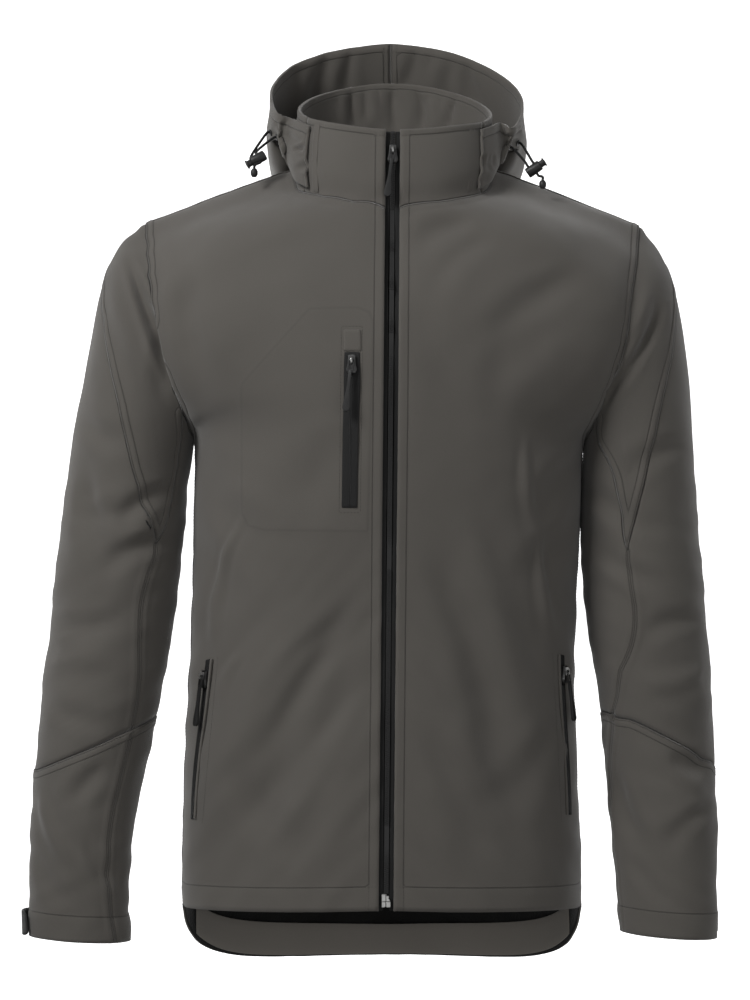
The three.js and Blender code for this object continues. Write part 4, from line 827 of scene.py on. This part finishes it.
# Rows of stitches: the line, the panels they are sewn on, and their distances from it in millimetres
STITCH_ROWS = (
    ("zip", ("front_r", "front_l"), (9.0,)),
    ("zip", ("collar_front_r", "collar_front_l"), (9.0,)),
    ("hem", ("front_r", "front_l", "back"), (22.0,)),
    ("cuff", ("sleeve_lower_r", "sleeve_lower_l"), (24.0,)),
    ("armhole", ("front_r", "front_l", "back"), (1.6, 7.4)),
    ("cap", ("sleeve_cap_r", "sleeve_cap_l"), (1.6, 7.4)),
    ("elbow", ("sleeve_lower_r", "sleeve_lower_l"), (1.6, 7.4)),
    ("arm", ("sleeve_upper_r", "sleeve_upper_l", "sleeve_lower_r", "sleeve_lower_l"), (1.8,)),
    ("side", ("back",), (1.6,)),
    ("shoulder", ("back",), (1.6, 7.4)),
    ("neck", ("front_r", "front_l", "back"), (1.6,)),
    ("collar_top", ("collar_front_r", "collar_front_l", "collar_back"), (6.0,)),
    ("crown", ("hood_r", "hood_l"), (1.8, 7.0)),
    ("hood_edge", ("hood_r", "hood_l"), (8.0,)),
    ("hood_front", ("hood_r", "hood_l"), (3.0,)),
)
BAND = 8.5
REACH = 40.0
OPEN_LINES = ("zip", "hem", "cuff", "collar_top", "hood_edge", "hood_front")


def level_lines(points, normals, faces, values, level):
    """Lines on a piece where a value crosses a level, as lists of point and normal pairs."""
    above = values > level
    tris = np.concatenate([faces[:, [0, 1, 2]], faces[:, [0, 2, 3]]])
    flags = above[tris]
    crossed = tris[(flags.any(axis=1)) & (~flags.all(axis=1))]
    links, spots = {}, {}
    for tri in crossed:
        keys = []
        for a, b in ((tri[0], tri[1]), (tri[1], tri[2]), (tri[2], tri[0])):
            if above[a] != above[b]:
                key = (min(a, b), max(a, b))
                if key not in spots:
                    t = (level - values[key[0]]) / (values[key[1]] - values[key[0]])
                    spots[key] = (points[key[0]] * (1 - t) + points[key[1]] * t,
                                  normals[key[0]] * (1 - t) + normals[key[1]] * t)
                keys.append(key)
        if len(keys) == 2:
            links.setdefault(keys[0], []).append(keys[1])
            links.setdefault(keys[1], []).append(keys[0])
    lines, used = [], set()
    for start in sorted(links, key=lambda k: (len(links[k]) != 1, k)):
        if start in used:
            continue
        line, here = [], start
        while here is not None:
            used.add(here)
            line.append(spots[here])
            here = next((k for k in links[here] if k not in used), None)
        lines.append(line)
    return lines


def stitch_run(line, pitch, width):
    """Short threads along a line, each pinched at both ends where it dives into the cloth."""
    spots = np.array([p for p, _ in line])
    if len(spots) < 3:
        return []
    gaps = np.linalg.norm(np.diff(spots, axis=0), axis=1)
    along = np.concatenate([[0], np.cumsum(gaps)])
    if along[-1] < 3 * pitch:
        return []
    normals = np.array([n for _, n in line])
    threads = []
    at = pitch * 0.4
    while at + 0.8 * pitch < along[-1]:
        ends = [at, at + 0.74 * pitch]
        pair = [np.array([np.interp(e, along, spots[:, k]) for k in range(3)]) for e in ends]
        up = np.array([np.interp(at, along, normals[:, k]) for k in range(3)])
        up /= max(np.linalg.norm(up), 1e-9)
        run = pair[1] - pair[0]
        size = np.linalg.norm(run)
        if size > 0.4 * pitch:
            side = np.cross(run / size, up)
            threads.append((pair[0], run, side * width / 2, up * width / 2))
        at += pitch
    return threads


# Rows of stitches drawn from the front: round the chest pocket and beside the hand pockets, in millimetres
DRAWN_ROWS = {
    "front_r": (
        ((-30.4, -325), (-28.4, -155), (-47.8, -155), (-49.8, -325), (-30.4, -325)),
        ((-163, -458), (-178, -616)),
    ),
    "front_l": (((148, -454), (156.5, -612)),),
}
# Lines whose stitches also show on the inside
INSIDE_ROWS = ("hood_edge", "collar_top", "crown")


def drawn_line(points, faces, route):
    """A route seen from the front, laid on the outer face of a panel, as point and normal pairs."""
    tree = BVHTree.FromPolygons(points.tolist(), faces.tolist())
    found = []
    for (x1, z1), (x2, z2) in zip(route, route[1:]):
        count = max(int(math.hypot(x2 - x1, z2 - z1) / 2), 1)
        for k in range(count + 1):
            x, z = x1 + (x2 - x1) * k / count, z1 + (z2 - z1) * k / count
            spot, normal, _, _ = tree.ray_cast(Vector((x, -500, z)), Vector((0, 1, 0)))
            if spot:
                found.append((np.array(spot), np.array(normal)))
    return found


def thread_mesh(name, threads):
    points, faces = [], []
    for start, run, side, up in threads:
        base = len(points)
        points.append(start - up * 0.6)
        for share in (0.22, 0.78):
            middle = start + run * share + up * 0.5
            points += [middle + side, middle + up, middle - side, middle - up]
        points.append(start + run - up * 0.6)
        ring, far, tip = base + 1, base + 5, base + 9
        for k in range(4):
            n = (k + 1) % 4
            faces.append((base, ring + n, ring + k))
            faces.append((ring + k, ring + n, far + n, far + k))
            faces.append((far + k, far + n, tip))
    return mesh_from(name, np.array(points) * MM, faces)


# Rough radii of the body and the arms, in metres, that scale the weave round them
BODY_RADIUS = 0.15
ARM_RADIUS = 0.056


def weave_map(points, faces, kind):
    """Corner coordinates for the weave, in metres: round the body or the arm, and down it."""
    if kind == "sleeve":
        x, y = (points[:, axis] - np.interp(points[:, 2], *column_means(points, axis)) for axis in (0, 1))
        angle, radius = np.arctan2(y, x), ARM_RADIUS
    else:
        toward = -1 if kind == "front" else 1
        angle, radius = np.arctan2(points[:, 0] - ZIP_FOOT[0], toward * points[:, 1]), BODY_RADIUS
    corner = angle[faces]
    wide = (corner.max(axis=1) - corner.min(axis=1)) > math.pi
    corner[wide] = np.where(corner[wide] < 0, corner[wide] + 2 * math.pi, corner[wide])
    return np.stack([corner * radius, points[:, 2][faces] * MM], axis=2).reshape(-1, 2)


def column_means(points, axis):
    heights = np.round(points[:, 2] / 25).astype(int)
    levels = np.unique(heights)
    return levels * 25.0, np.array([points[heights == level][:, axis].mean() for level in levels])


def cut_piece(cloth, name, lines, lining, thread_pitch, thread_width):
    """Cuts one panel out of the creased cloth, presses its seams and adds its wall, lining and stitches."""
    index = cloth.names.index(name)
    own = cloth.faces[cloth.panel == index]
    kept, faces = np.unique(own, return_inverse=True)
    faces = faces.reshape(-1, 4)
    rest = cloth.points[kept]
    points = rest.copy()
    normals = cloth.normals[kept]
    touching = set(kept.tolist())
    # Distances to seams and stitch rows, near which the shell's paint darkens as painted shade and its bump
    # sinks
    marks = {"seam": np.full(len(points), REACH), "row_near": np.full(len(points), REACH)}
    marks["row_far"] = marks["seam"].copy()
    # The pocket bag's outline, along which the shell's paint lays a line of painted shade
    marks["press"] = outline_depth(rest, POCKET_BAG) if name == "front_r" else marks["seam"].copy()
    wave = np.sin(rest[:, 2] * 0.26 + rest[:, 0] * 0.21 + 2.0 * np.sin(rest[:, 2] * 0.05))
    rows = []
    for line, edges in lines.items():
        mine = [(a, b) for a, b in edges if a in touching and b in touching]
        if not mine:
            continue
        away = distance_to(rest, cloth, mine)
        sewn = [distance for r in STITCH_ROWS if r[0] == line and name in r[1] for distance in r[2]]
        if line in OPEN_LINES:
            outermost = max(sewn, default=8.0)
            raised = smoothstep((outermost + 1.0 - away) / 2.2)
            dip = np.exp(-((away - outermost) / 1.6) ** 2)
            points += normals * ((0.6 + 0.12 * wave) * raised - 0.45 * dip)[:, None]
        else:
            marks["seam"] = np.minimum(marks["seam"], away)
            if sewn:
                raised = smoothstep((BAND - away) / 2.0)
                dips = sum(np.exp(-((away - d) / 1.1) ** 2) for d in sewn)
                points += normals * ((0.65 + 0.12 * wave) * raised - 0.4 * dips)[:, None]
            else:
                points -= normals * (0.25 * np.exp(-(away / 2.0) ** 2))[:, None]
        for distance in sewn:
            mark = "row_near" if distance < 2 else "row_far"
            marks[mark] = np.minimum(marks[mark], away - distance)
        rows += [(away, distance, line in INSIDE_ROWS) for distance in sewn]
    fresh = normals_of(points, faces)
    threads = []
    for away, distance, inside in rows:
        for run in level_lines(points, fresh, faces, away, distance):
            threads += stitch_run(run, thread_pitch / MM, thread_width / MM)
            if inside:
                within = [(spot - normal * wall_of(name), -normal) for spot, normal in run]
                threads += stitch_run(within, thread_pitch / MM, thread_width / MM)
    for route in DRAWN_ROWS.get(name, ()):
        threads += stitch_run(drawn_line(points, faces, route), thread_pitch / MM, thread_width / MM)
    mesh = mesh_from(f"shell_{name}", points * MM, faces)
    for mark, values in marks.items():
        mesh.attributes.new(mark, "FLOAT", "POINT").data.foreach_set("value", values.astype(np.float32))
    kind = name.split("_")[0]
    weave = mesh.uv_layers.new(name="weave")
    weave.data.foreach_set("uv", weave_map(points, faces, kind).ravel())
    piece = place_piece(f"shell_{name}", mesh, ["shell", lining], "shell_cloth", replaces=[name])
    wall = piece.modifiers.new("wall", "SOLIDIFY")
    wall.thickness = wall_of(name) * MM
    wall.offset = -1
    wall.material_offset = 1
    sewing = thread_mesh(f"stitches_{name}", threads)
    stitches = place_piece(f"stitches_{name}", sewing, ["thread"], "shell_cloth")
    declare_sheet(name)


class JACKET_OT_studio(bpy.types.Operator):
    """Camera, soft lights, pale floor and backdrop"""

    bl_idname = "jacket.studio"
    bl_label = "Studio"

    def execute(self, context):
        look = context.scene.jacket_studio
        camera = bpy.data.objects.new("camera", bpy.data.cameras.new("camera"))
        context.scene.collection.objects.link(camera)
        camera.location = (-0.0171, -look.distance, -0.3135)
        camera.rotation_euler = (math.radians(90), 0, 0)
        camera.data.lens = look.lens
        camera.data.clip_end = 40
        context.scene.camera = camera
        self.add_light("key", (-1.7, -1.7, 1.45), 1.2, look.key, (-0.2, 0, -0.1), 60)
        self.add_light("fill", (1.7, -2.5, 0.2), 2.0, look.fill)
        self.add_light("low", (0.0, -2.9, -1.0), 1.6, look.fill * 0.45)
        self.add_light("rear", (0.6, 2.0, 1.4), 1.6, look.fill)
        self.add_floor(look.floor, look.glow)
        world = bpy.data.worlds.new("studio")
        world.use_nodes = True
        sky = world.node_tree.nodes["Background"]
        sky.inputs["Color"].default_value = (1, 1, 1, 1)
        sky.inputs["Strength"].default_value = look.sky
        context.scene.world = world
        context.scene.view_settings.view_transform = "Standard"
        return {"FINISHED"}

    def add_light(self, name, place, size, power, target=(0, 0, -0.35), spread=180):
        data = bpy.data.lights.new(name, "AREA")
        data.shape = "DISK"
        data.size = size
        data.energy = power
        data.spread = math.radians(spread)
        light = bpy.data.objects.new(name, data)
        bpy.context.scene.collection.objects.link(light)
        light.location = place
        aim = Vector(target) - Vector(place)
        light.rotation_mode = "QUATERNION"
        light.rotation_quaternion = aim.to_track_quat("-Z", "Y")

    def add_floor(self, colour, glow):
        """A floor that curves up into a wall behind."""
        cove = bmesh.new()
        left = cove.verts.new((-12, 0.7, -0.95))
        right = cove.verts.new((12, 0.7, -0.95))
        edge = cove.edges.new((left, right))
        run = bmesh.ops.extrude_edge_only(cove, edges=[edge])["geom"]
        far = [v for v in run if isinstance(v, bmesh.types.BMVert)]
        bmesh.ops.translate(cove, verts=far, vec=(0, 5.3, 0))
        last = [e for e in run if isinstance(e, bmesh.types.BMEdge) and all(v in far for v in e.verts)]
        bmesh.ops.spin(cove, geom=far + last, cent=(0, 6, 1.05), axis=(1, 0, 0), angle=math.radians(90),
                       steps=12)
        ends = [v for v in cove.verts if v.co.y > 7.99]
        top = [e for e in cove.edges if all(v in ends for v in e.verts)]
        rise = bmesh.ops.extrude_edge_only(cove, edges=top)["geom"]
        lifted = [v for v in rise if isinstance(v, bmesh.types.BMVert)]
        bmesh.ops.translate(cove, verts=lifted, vec=(0, 0, 6))
        mesh = bpy.data.meshes.new("floor")
        cove.to_mesh(mesh)
        cove.free()
        floor = bpy.data.objects.new("floor", mesh)
        bpy.context.scene.collection.objects.link(floor)
        paint = Paint("studio_floor")
        mesh.materials.append(paint.finish({
            "Base Color": shade(colour, 1.0), "Roughness": 0.9,
            "Emission Color": (1, 1, 1, 1), "Emission Strength": glow,
        }))


# Cord routes from each eyelet to the lock, and from the lock to the bead, in millimetres
CORD_DIAMETER = 0.0025
CORD_ROUTES = {
    "r": {
        1: [(-109.8, -4.5, 31), (-114.5, -5.4, 29.5), (-129.6, -10.1, 16.6), (-126.9, -15.6, 13.1)],
        2: [(-116.1, 11.1, 36.9), (-120.8, 9.7, 35.6), (-134.3, -10, 12.7), (-131.9, -15.9, 9.8)],
        "end": [(-125.1, -23.1, 5.4), (-130.2, -25.1, 3), (-131, -25.6, -0.7)],
    },
    "l": {
        1: [(110.3, -6.2, 21.7), (114.6, -7.1, 19.2), (124.5, -15, 6.9), (127.9, -17.7, 1.4)],
        2: [(118.6, 7.7, 27), (122.9, 6.1, 24.9), (130.9, -12.1, 8.7), (133.5, -16.8, 4.1)],
        "end": [(135.6, -22, -5.1), (137.1, -23.1, -7.5), (141, -25.3, -8.7), (141, -25.6, -11.7)],
    },
}


def smooth_route(stations, count):
    """Evenly spaced points on a curve through the stations."""
    ends = [2 * stations[0] - stations[1], *stations, 2 * stations[-1] - stations[-2]]
    dense = []
    for k in range(1, len(ends) - 2):
        p0, p1, p2, p3 = ends[k - 1:k + 3]
        for step in range(24):
            t = step / 24
            dense.append(0.5 * (2 * p1 + (p2 - p0) * t + (2 * p0 - 5 * p1 + 4 * p2 - p3) * t * t
                                + (3 * p1 - p0 - 3 * p2 + p3) * t ** 3))
    dense.append(stations[-1])
    dense = np.array(dense)
    along = np.concatenate([[0], np.cumsum(np.linalg.norm(np.diff(dense, axis=0), axis=1))])
    wanted = np.linspace(0, along[-1], count)
    return np.stack([np.interp(wanted, along, dense[:, k]) for k in range(3)], axis=1), along[-1]


def tube_mesh(name, path, radius, around=12):
    """A cord of even thickness along a path, with a map of its girth and length for the braid."""
    points, faces, corners = [], [], []
    run = np.gradient(path, axis=0)
    run /= np.linalg.norm(run, axis=1, keepdims=True)
    side = np.cross(run[0], (0, 1, 0.2))
    for at, heading in zip(path, run):
        side = side - heading * (side @ heading)
        side /= np.linalg.norm(side)
        up = np.cross(heading, side)
        for k in range(around):
            turn = 2 * math.pi * k / around
            points.append(at + radius * (math.cos(turn) * side + math.sin(turn) * up))
    length = 0.0
    for i in range(len(path) - 1):
        step = np.linalg.norm(path[i + 1] - path[i])
        for k in range(around):
            n = (k + 1) % around
            faces.append((i * around + k, i * around + n, (i + 1) * around + n, (i + 1) * around + k))
            low, high = length / radius * 1.6, (length + step) / radius * 1.6
            left, right = 4 * math.pi * k / around, 4 * math.pi * (k + 1) / around
            corners += [(left, low), (right, low), (right, high), (left, high)]
        length += step
    for ring, order in ((0, -1), (len(path) - 1, 1)):
        faces.append(tuple(ring * around + k for k in range(around))[::order])
        corners += [(0, 0)] * around
    mesh = mesh_from(name, points, faces)
    mesh.uv_layers.new(name="braid").data.foreach_set("uv", np.array(corners).ravel())
    return mesh


class JACKET_OT_cords(bpy.types.Operator):
    """Hood drawcords: one strand of each runs on through its lock to the bead, the other ends in the lock"""

    bl_idname = "jacket.cords"
    bl_label = "Drawcords"

    def execute(self, context):
        for side in SIDES:
            route = CORD_ROUTES[side]
            for strand in (1, 2):
                stations = [np.array(p) for p in route[strand] + (route["end"] if strand == 1 else [])]
                path, length = smooth_route([p * MM for p in stations], 40)
                name = f"cord_{side}_{strand}"
                nodes = [f"drawcord_{side}_{strand}"] + ([f"drawcord_{side}_end"] if strand == 1 else [])
                mesh = tube_mesh(name, path, CORD_DIAMETER / 2)
                piece = place_piece(name, mesh, ["cord"], "cord", replaces=nodes)
                tuple(path[0])
                [tuple(p) for p in path]
        return {"FINISHED"}


def panel_points(cloth, kinds):
    found = np.zeros(len(cloth.points), bool)
    for index, name in enumerate(cloth.names):
        if name.startswith(kinds):
            found[np.unique(cloth.faces[cloth.panel == index])] = True
    return found


def crease_cloth(cloth, groups, seed, creasing):
    """Presses creases and a slight unevenness into the joined cloth."""
    normals = normals_of(cloth.points, cloth.faces)
    lift = np.zeros(len(cloth.points))
    for side, kinds, creases in groups:
        mask = np.clip(side * -normals[:, 1] * 1.6, 0, 1) * panel_points(cloth, kinds)
        for crease in creases:
            lift += mask * creasing * crease_height(cloth.points, crease)
    front = np.clip(-normals[:, 1] * 3, 0, 1) * panel_points(cloth, ("front_r",))
    lift += front * pressed_height(cloth.points, POCKET_BAG, BAG_RISE)
    lift += 1.1 * rumple(cloth.points, 70.0, seed) + 0.45 * rumple(cloth.points, 24.0, seed + 5)
    low = smoothstep((-300 - cloth.points[:, 2]) / 160)
    body = low * panel_points(cloth, ("front", "back"))
    lift += 0.8 * creasing * body * drag_lines(cloth.points, 38, (16, 60, 70), seed + 9)
    arms = smoothstep((-250 - cloth.points[:, 2]) / 100) * panel_points(cloth, ("sleeve",))
    lift += 0.8 * creasing * arms * drag_lines(cloth.points, 66, (15, 40, 60), seed + 14)
    cloth.points = cloth.points + normals * lift[:, None]
    cloth.normals = normals_of(cloth.points, cloth.faces)


class JACKET_OT_shell(bpy.types.Operator):
    """Body, sleeves and collar, creased as one cloth and cut at their seams"""

    bl_idname = "jacket.shell"
    bl_label = "Shell"

    def execute(self, context):
        look = context.scene.jacket_cloth
        cloth = Cloth(SHELL_PANELS, 3)
        body = ("front", "back", "collar")
        crease_cloth(cloth, (
            (1, body, FRONT_CREASES), (-1, body, BACK_CREASES), (-1, ("collar",), COLLAR_CREASES),
            (1, ("sleeve",), SLEEVE_CREASES), (-1, ("sleeve",), SLEEVE_CREASES[1::2]),
        ), 3.0, look.creasing)
        lines = named_lines(cloth)
        lines["arm"] = arm_seams(cloth, lines)
        for name in SHELL_PANELS:
            lining = "shell" if name.startswith("collar") else "fleece"
            cut_piece(cloth, name, lines, lining, look.thread_pitch, look.thread_width)
        return {"FINISHED"}


# Depth of the hood's creases against their tables
HOOD_CREASING = 1.4


class JACKET_OT_hood(bpy.types.Operator):
    """Hood lying open behind the collar"""

    bl_idname = "jacket.hood"
    bl_label = "Hood"

    def execute(self, context):
        look = context.scene.jacket_cloth
        cloth = Cloth(HOOD_PANELS, 3)
        groups = ((-1, ("hood",), HOOD_BACK_CREASES), (1, ("hood",), HOOD_FRONT_CREASES))
        crease_cloth(cloth, groups, 9.0, HOOD_CREASING)
        lines = named_lines(cloth)
        for name in HOOD_PANELS:
            cut_piece(cloth, name, lines, "shell", look.thread_pitch, look.thread_width)
        return {"FINISHED"}


# Laid pieces: name, paint and slot
# The hem facing takes the facing paint, which is painted lighter than the shell as painted light
LAID = [("back_hem_facing", "facing", "shell_cloth")]
for side_name in SIDES:
    LAID += [
        (f"collar_band_{side_name}", "shell", "shell_cloth"),
        (f"hand_welt_{side_name}", "shell", "shell_cloth"),
        (f"cuff_strap_{side_name}", "shell", "shell_cloth"),
        (f"zip_tape_{side_name}", "tape", "zip_tape"),
        (f"hand_zip_{side_name}", "tape", "zip_tape"),
    ]
LAID += [("chest_garage", "shell", "shell_cloth"), ("chest_zip", "tape", "zip_tape")]


RIM_SHARPNESS = 0.75


def softened_copy(name):
    """A node's wall as quads, to be rounded between its creased rims."""
    copy = merged_copy(name)
    make_quads(copy)
    crease = copy.edges.layers.float.new("crease_edge")
    for edge in copy.edges:
        if len(edge.link_faces) == 2 and edge.calc_face_angle() > math.radians(40):
            edge[crease] = RIM_SHARPNESS
    mesh = bpy.data.meshes.new(name)
    copy.to_mesh(mesh)
    copy.free()
    mesh.polygons.foreach_set("use_smooth", [True] * len(mesh.polygons))
    return mesh


class JACKET_OT_trim(bpy.types.Operator):
    """Zip tapes, welts, bands, straps and facing"""

    bl_idname = "jacket.trim"
    bl_label = "Laid pieces"

    def execute(self, context):
        for name, paint, slot in LAID:
            mesh = softened_copy(name)
            # Seam, row and outline distances set far off, so the laid pieces get none of the painted shade
            # lines
            for mark in ("seam", "row_near", "row_far", "press"):
                flat = mesh.attributes.new(mark, "FLOAT", "POINT")
                flat.data.foreach_set("value", [REACH] * len(mesh.vertices))
            piece = place_piece(f"laid_{name}", mesh, [paint], slot, replaces=[name])
            smooth = piece.modifiers.new("smooth", "SUBSURF")
            smooth.levels = smooth.render_levels = 2
            declare_sheet(name)
        for side in SIDES:
            piece = place_piece(f"moulded_cuff_tab_{side}", softened_copy(f"cuff_tab_{side}"), ["rubber"],
                                "tab_rubber", replaces=[f"cuff_tab_{side}"])
            smooth = piece.modifiers.new("smooth", "SUBSURF")
            smooth.levels = smooth.render_levels = 2
        return {"FINISHED"}


PULLS = ("front_pull", "chest_pull", "hand_r_pull", "hand_l_pull")
HARD = [(f"{name[:-5]}_slider", "metal", "zip_metal", "jacket", 0.35) for name in PULLS]
HARD += [(name, "plastic", "moulded_plastic", name, 0.5) for name in PULLS]
HARD += [("zip_box", "box", "zip_metal", "jacket", 0.5)]
for side_name in SIDES:
    HARD += [
        (f"lock_barrel_{side_name}", "plastic", "moulded_plastic", "jacket", 0.4),
        (f"lock_plunger_{side_name}", "plastic", "moulded_plastic", f"lock_plunger_{side_name}", 0.4),
        (f"cord_bead_{side_name}", "plastic", "moulded_plastic", "jacket", 0.4),
        (f"eyelet_{side_name}_1", "plastic", "moulded_plastic", "jacket", 0.25),
        (f"eyelet_{side_name}_2", "plastic", "moulded_plastic", "jacket", 0.25),
    ]


BRIDGE_LEVEL = 4.5


def paint_bridge_highlight(mesh):
    """Gives the bridge that stands on a slider's face the second paint, a brighter metal that is a painted
    highlight on the dark slider.
    """
    points = points_of(mesh) / MM
    out = np.array(max(mesh.polygons, key=lambda p: p.area).normal)
    out = out if out[1] < 0 else -out
    heights = points @ out
    for face in mesh.polygons:
        if np.mean(heights[list(face.vertices)]) > heights.min() + BRIDGE_LEVEL:
            face.material_index = 1


class JACKET_OT_hardware(bpy.types.Operator):
    """Sliders, pulls, locks, beads and eyelets, with rounded edges"""

    bl_idname = "jacket.hardware"
    bl_label = "Hardware"

    def execute(self, context):
        for name, paint, slot, body, width in HARD:
            copy = merged_copy(name)
            bmesh.ops.dissolve_limit(copy, angle_limit=math.radians(2), use_dissolve_boundaries=False,
                                     verts=copy.verts, edges=copy.edges)
            mesh = bpy.data.meshes.new(name)
            copy.to_mesh(mesh)
            copy.free()
            mesh.polygons.foreach_set("use_smooth", [True] * len(mesh.polygons))
            paints = [paint]
            if name.endswith("_slider"):
                # The bridge takes the brighter metal as a painted highlight
                paints.append("silver")
                paint_bridge_highlight(mesh)
            piece = place_piece(f"finished_{name}", mesh, paints, slot, body, [name])
            edge = piece.modifiers.new("edge", "BEVEL")
            edge.width = width * MM
            edge.segments = 3
            edge.limit_method = "ANGLE"
            edge.angle_limit = math.radians(35)
            edge.harden_normals = True
        return {"FINISHED"}


# Middle of each pocket zip below its slider, seen from the front in millimetres
POCKET_ZIPS = {
    "chest_zip": ((-38.6, -200), (-40.2, -319)),
    "hand_zip_r": ((-174.8, -490), (-187.3, -610)),
    "hand_zip_l": ((158.4, -486), (165, -606)),
}
RIDGE = {"radius": 0.42, "spread": 0.62, "sink": 0.1}


def ridge_paths(name, route):
    """Two lines down the middle of a pocket zip, where its tapes turn over the coil behind them."""
    sheet = merged_copy(name)
    tree = BVHTree.FromBMesh(sheet)
    sheet.free()
    (x1, z1), (x2, z2) = route
    for side in (-1, 1):
        path = []
        for t in np.linspace(0, 1, 60):
            x = x1 + (x2 - x1) * t + side * RIDGE["spread"]
            start = Vector((x, -500, z1 + (z2 - z1) * t)) * MM
            spot, normal, _, _ = tree.ray_cast(start, Vector((0, 1, 0)))
            if spot:
                path.append(np.array(spot - normal * RIDGE["sink"] * MM))
        yield np.array(path)


class JACKET_OT_teeth(bpy.types.Operator):
    """Closed coil of the front zip and the small coils of the pocket zips"""

    bl_idname = "jacket.teeth"
    bl_label = "Zip teeth"

    def execute(self, context):
        pitch = context.scene.jacket_trim.tooth_pitch / MM
        solid = merged_copy("zip_teeth")
        rings = {}
        for vert in solid.verts:
            rings.setdefault(round(vert.co.z / MM, 0), []).append(vert.co / MM)
        front = []
        for level, ring in sorted(rings.items()):
            forward = min(p.y for p in ring)
            near = [p for p in ring if p.y < forward + 0.9]
            if len(near) >= 2:
                front.append(sum(near, Vector()) / len(near))
        path, length = smooth_route([np.array(p) for p in front], 400)
        along = np.linspace(0, length, 400)
        points, faces = [], []
        count = int(length / pitch)
        for k in range(2 * count):
            at = (k + 0.5) * pitch / 2
            spot = np.array([np.interp(at, along, path[:, c]) for c in range(3)])
            side = 1 if k % 2 else -1
            base = len(points)
            inner, outer = -0.5 * side, 2.15 * side
            half = pitch * 0.23
            profile = (
                (inner, 0.0, half * 0.8), (inner, 0.7, half * 0.55), (outer * 0.6, 0.95, half * 0.8),
                (outer, 0.75, half), (outer, -0.4, half),
            )
            for x, out, tall in profile:
                for z in (-tall, tall):
                    points.append(spot + np.array([x, -out, z]))
            for i in range(4):
                a, b, c, d = base + 2 * i, base + 2 * i + 1, base + 2 * i + 3, base + 2 * i + 2
                faces.append((a, b, c, d) if side < 0 else (d, c, b, a))
            ends = [base + 2 * i for i in range(5)]
            faces.append(tuple(ends) if side < 0 else tuple(ends[::-1]))
            ends = [base + 2 * i + 1 for i in range(5)]
            faces.append(tuple(ends[::-1]) if side < 0 else tuple(ends))
        mesh = mesh_from("front_coil", np.array(points) * MM, faces, smooth=False)
        place_piece("front_coil", mesh, ["teeth"], "zip_tape", replaces=["zip_teeth"])
        core = bpy.data.meshes.new("zip_core")
        solid.to_mesh(core)
        solid.free()
        place_piece("zip_core", core, ["teeth"], "zip_tape")
        for name, route in POCKET_ZIPS.items():
            for number, path in enumerate(ridge_paths(name, route), 1):
                ridge = tube_mesh(f"ridge_{name}_{number}", path, RIDGE["radius"] * MM, 8)
                place_piece(f"ridge_{name}_{number}", ridge, ["teeth"], "zip_tape")
        return {"FINISHED"}


class JACKET_PT_sidebar(bpy.types.Panel):
    """The jacket's steps, in order"""

    bl_label = "Jacket"
    bl_idname = "JACKET_PT_sidebar"
    bl_space_type = "VIEW_3D"
    bl_region_type = "UI"
    bl_category = "Jacket"

    def draw(self, context):
        for step in STEPS:
            self.layout.operator(step.bl_idname)


STEPS = (
    JACKET_OT_studio, JACKET_OT_cords, JACKET_OT_shell, JACKET_OT_hood, JACKET_OT_trim, JACKET_OT_teeth,
    JACKET_OT_hardware,
)
SETTINGS = {"jacket_studio": StudioSettings, "jacket_cloth": ClothSettings, "jacket_trim": TrimSettings}


def register():
    for group in SETTINGS.values():
        bpy.utils.register_class(group)
    for step in (*STEPS, JACKET_PT_sidebar):
        bpy.utils.register_class(step)
    for name, group in SETTINGS.items():
        setattr(bpy.types.Scene, name, bpy.props.PointerProperty(type=group))


def unregister():
    for name in SETTINGS:
        delattr(bpy.types.Scene, name)
    for step in (JACKET_PT_sidebar, *reversed(STEPS)):
        bpy.utils.unregister_class(step)
    for group in SETTINGS.values():
        bpy.utils.unregister_class(group)


def main():
    register()
    make_paints()
    for step in STEPS:
        group, name = step.bl_idname.split(".")
        getattr(getattr(bpy.ops, group), name)()


if __name__ == "__main__":
    main()
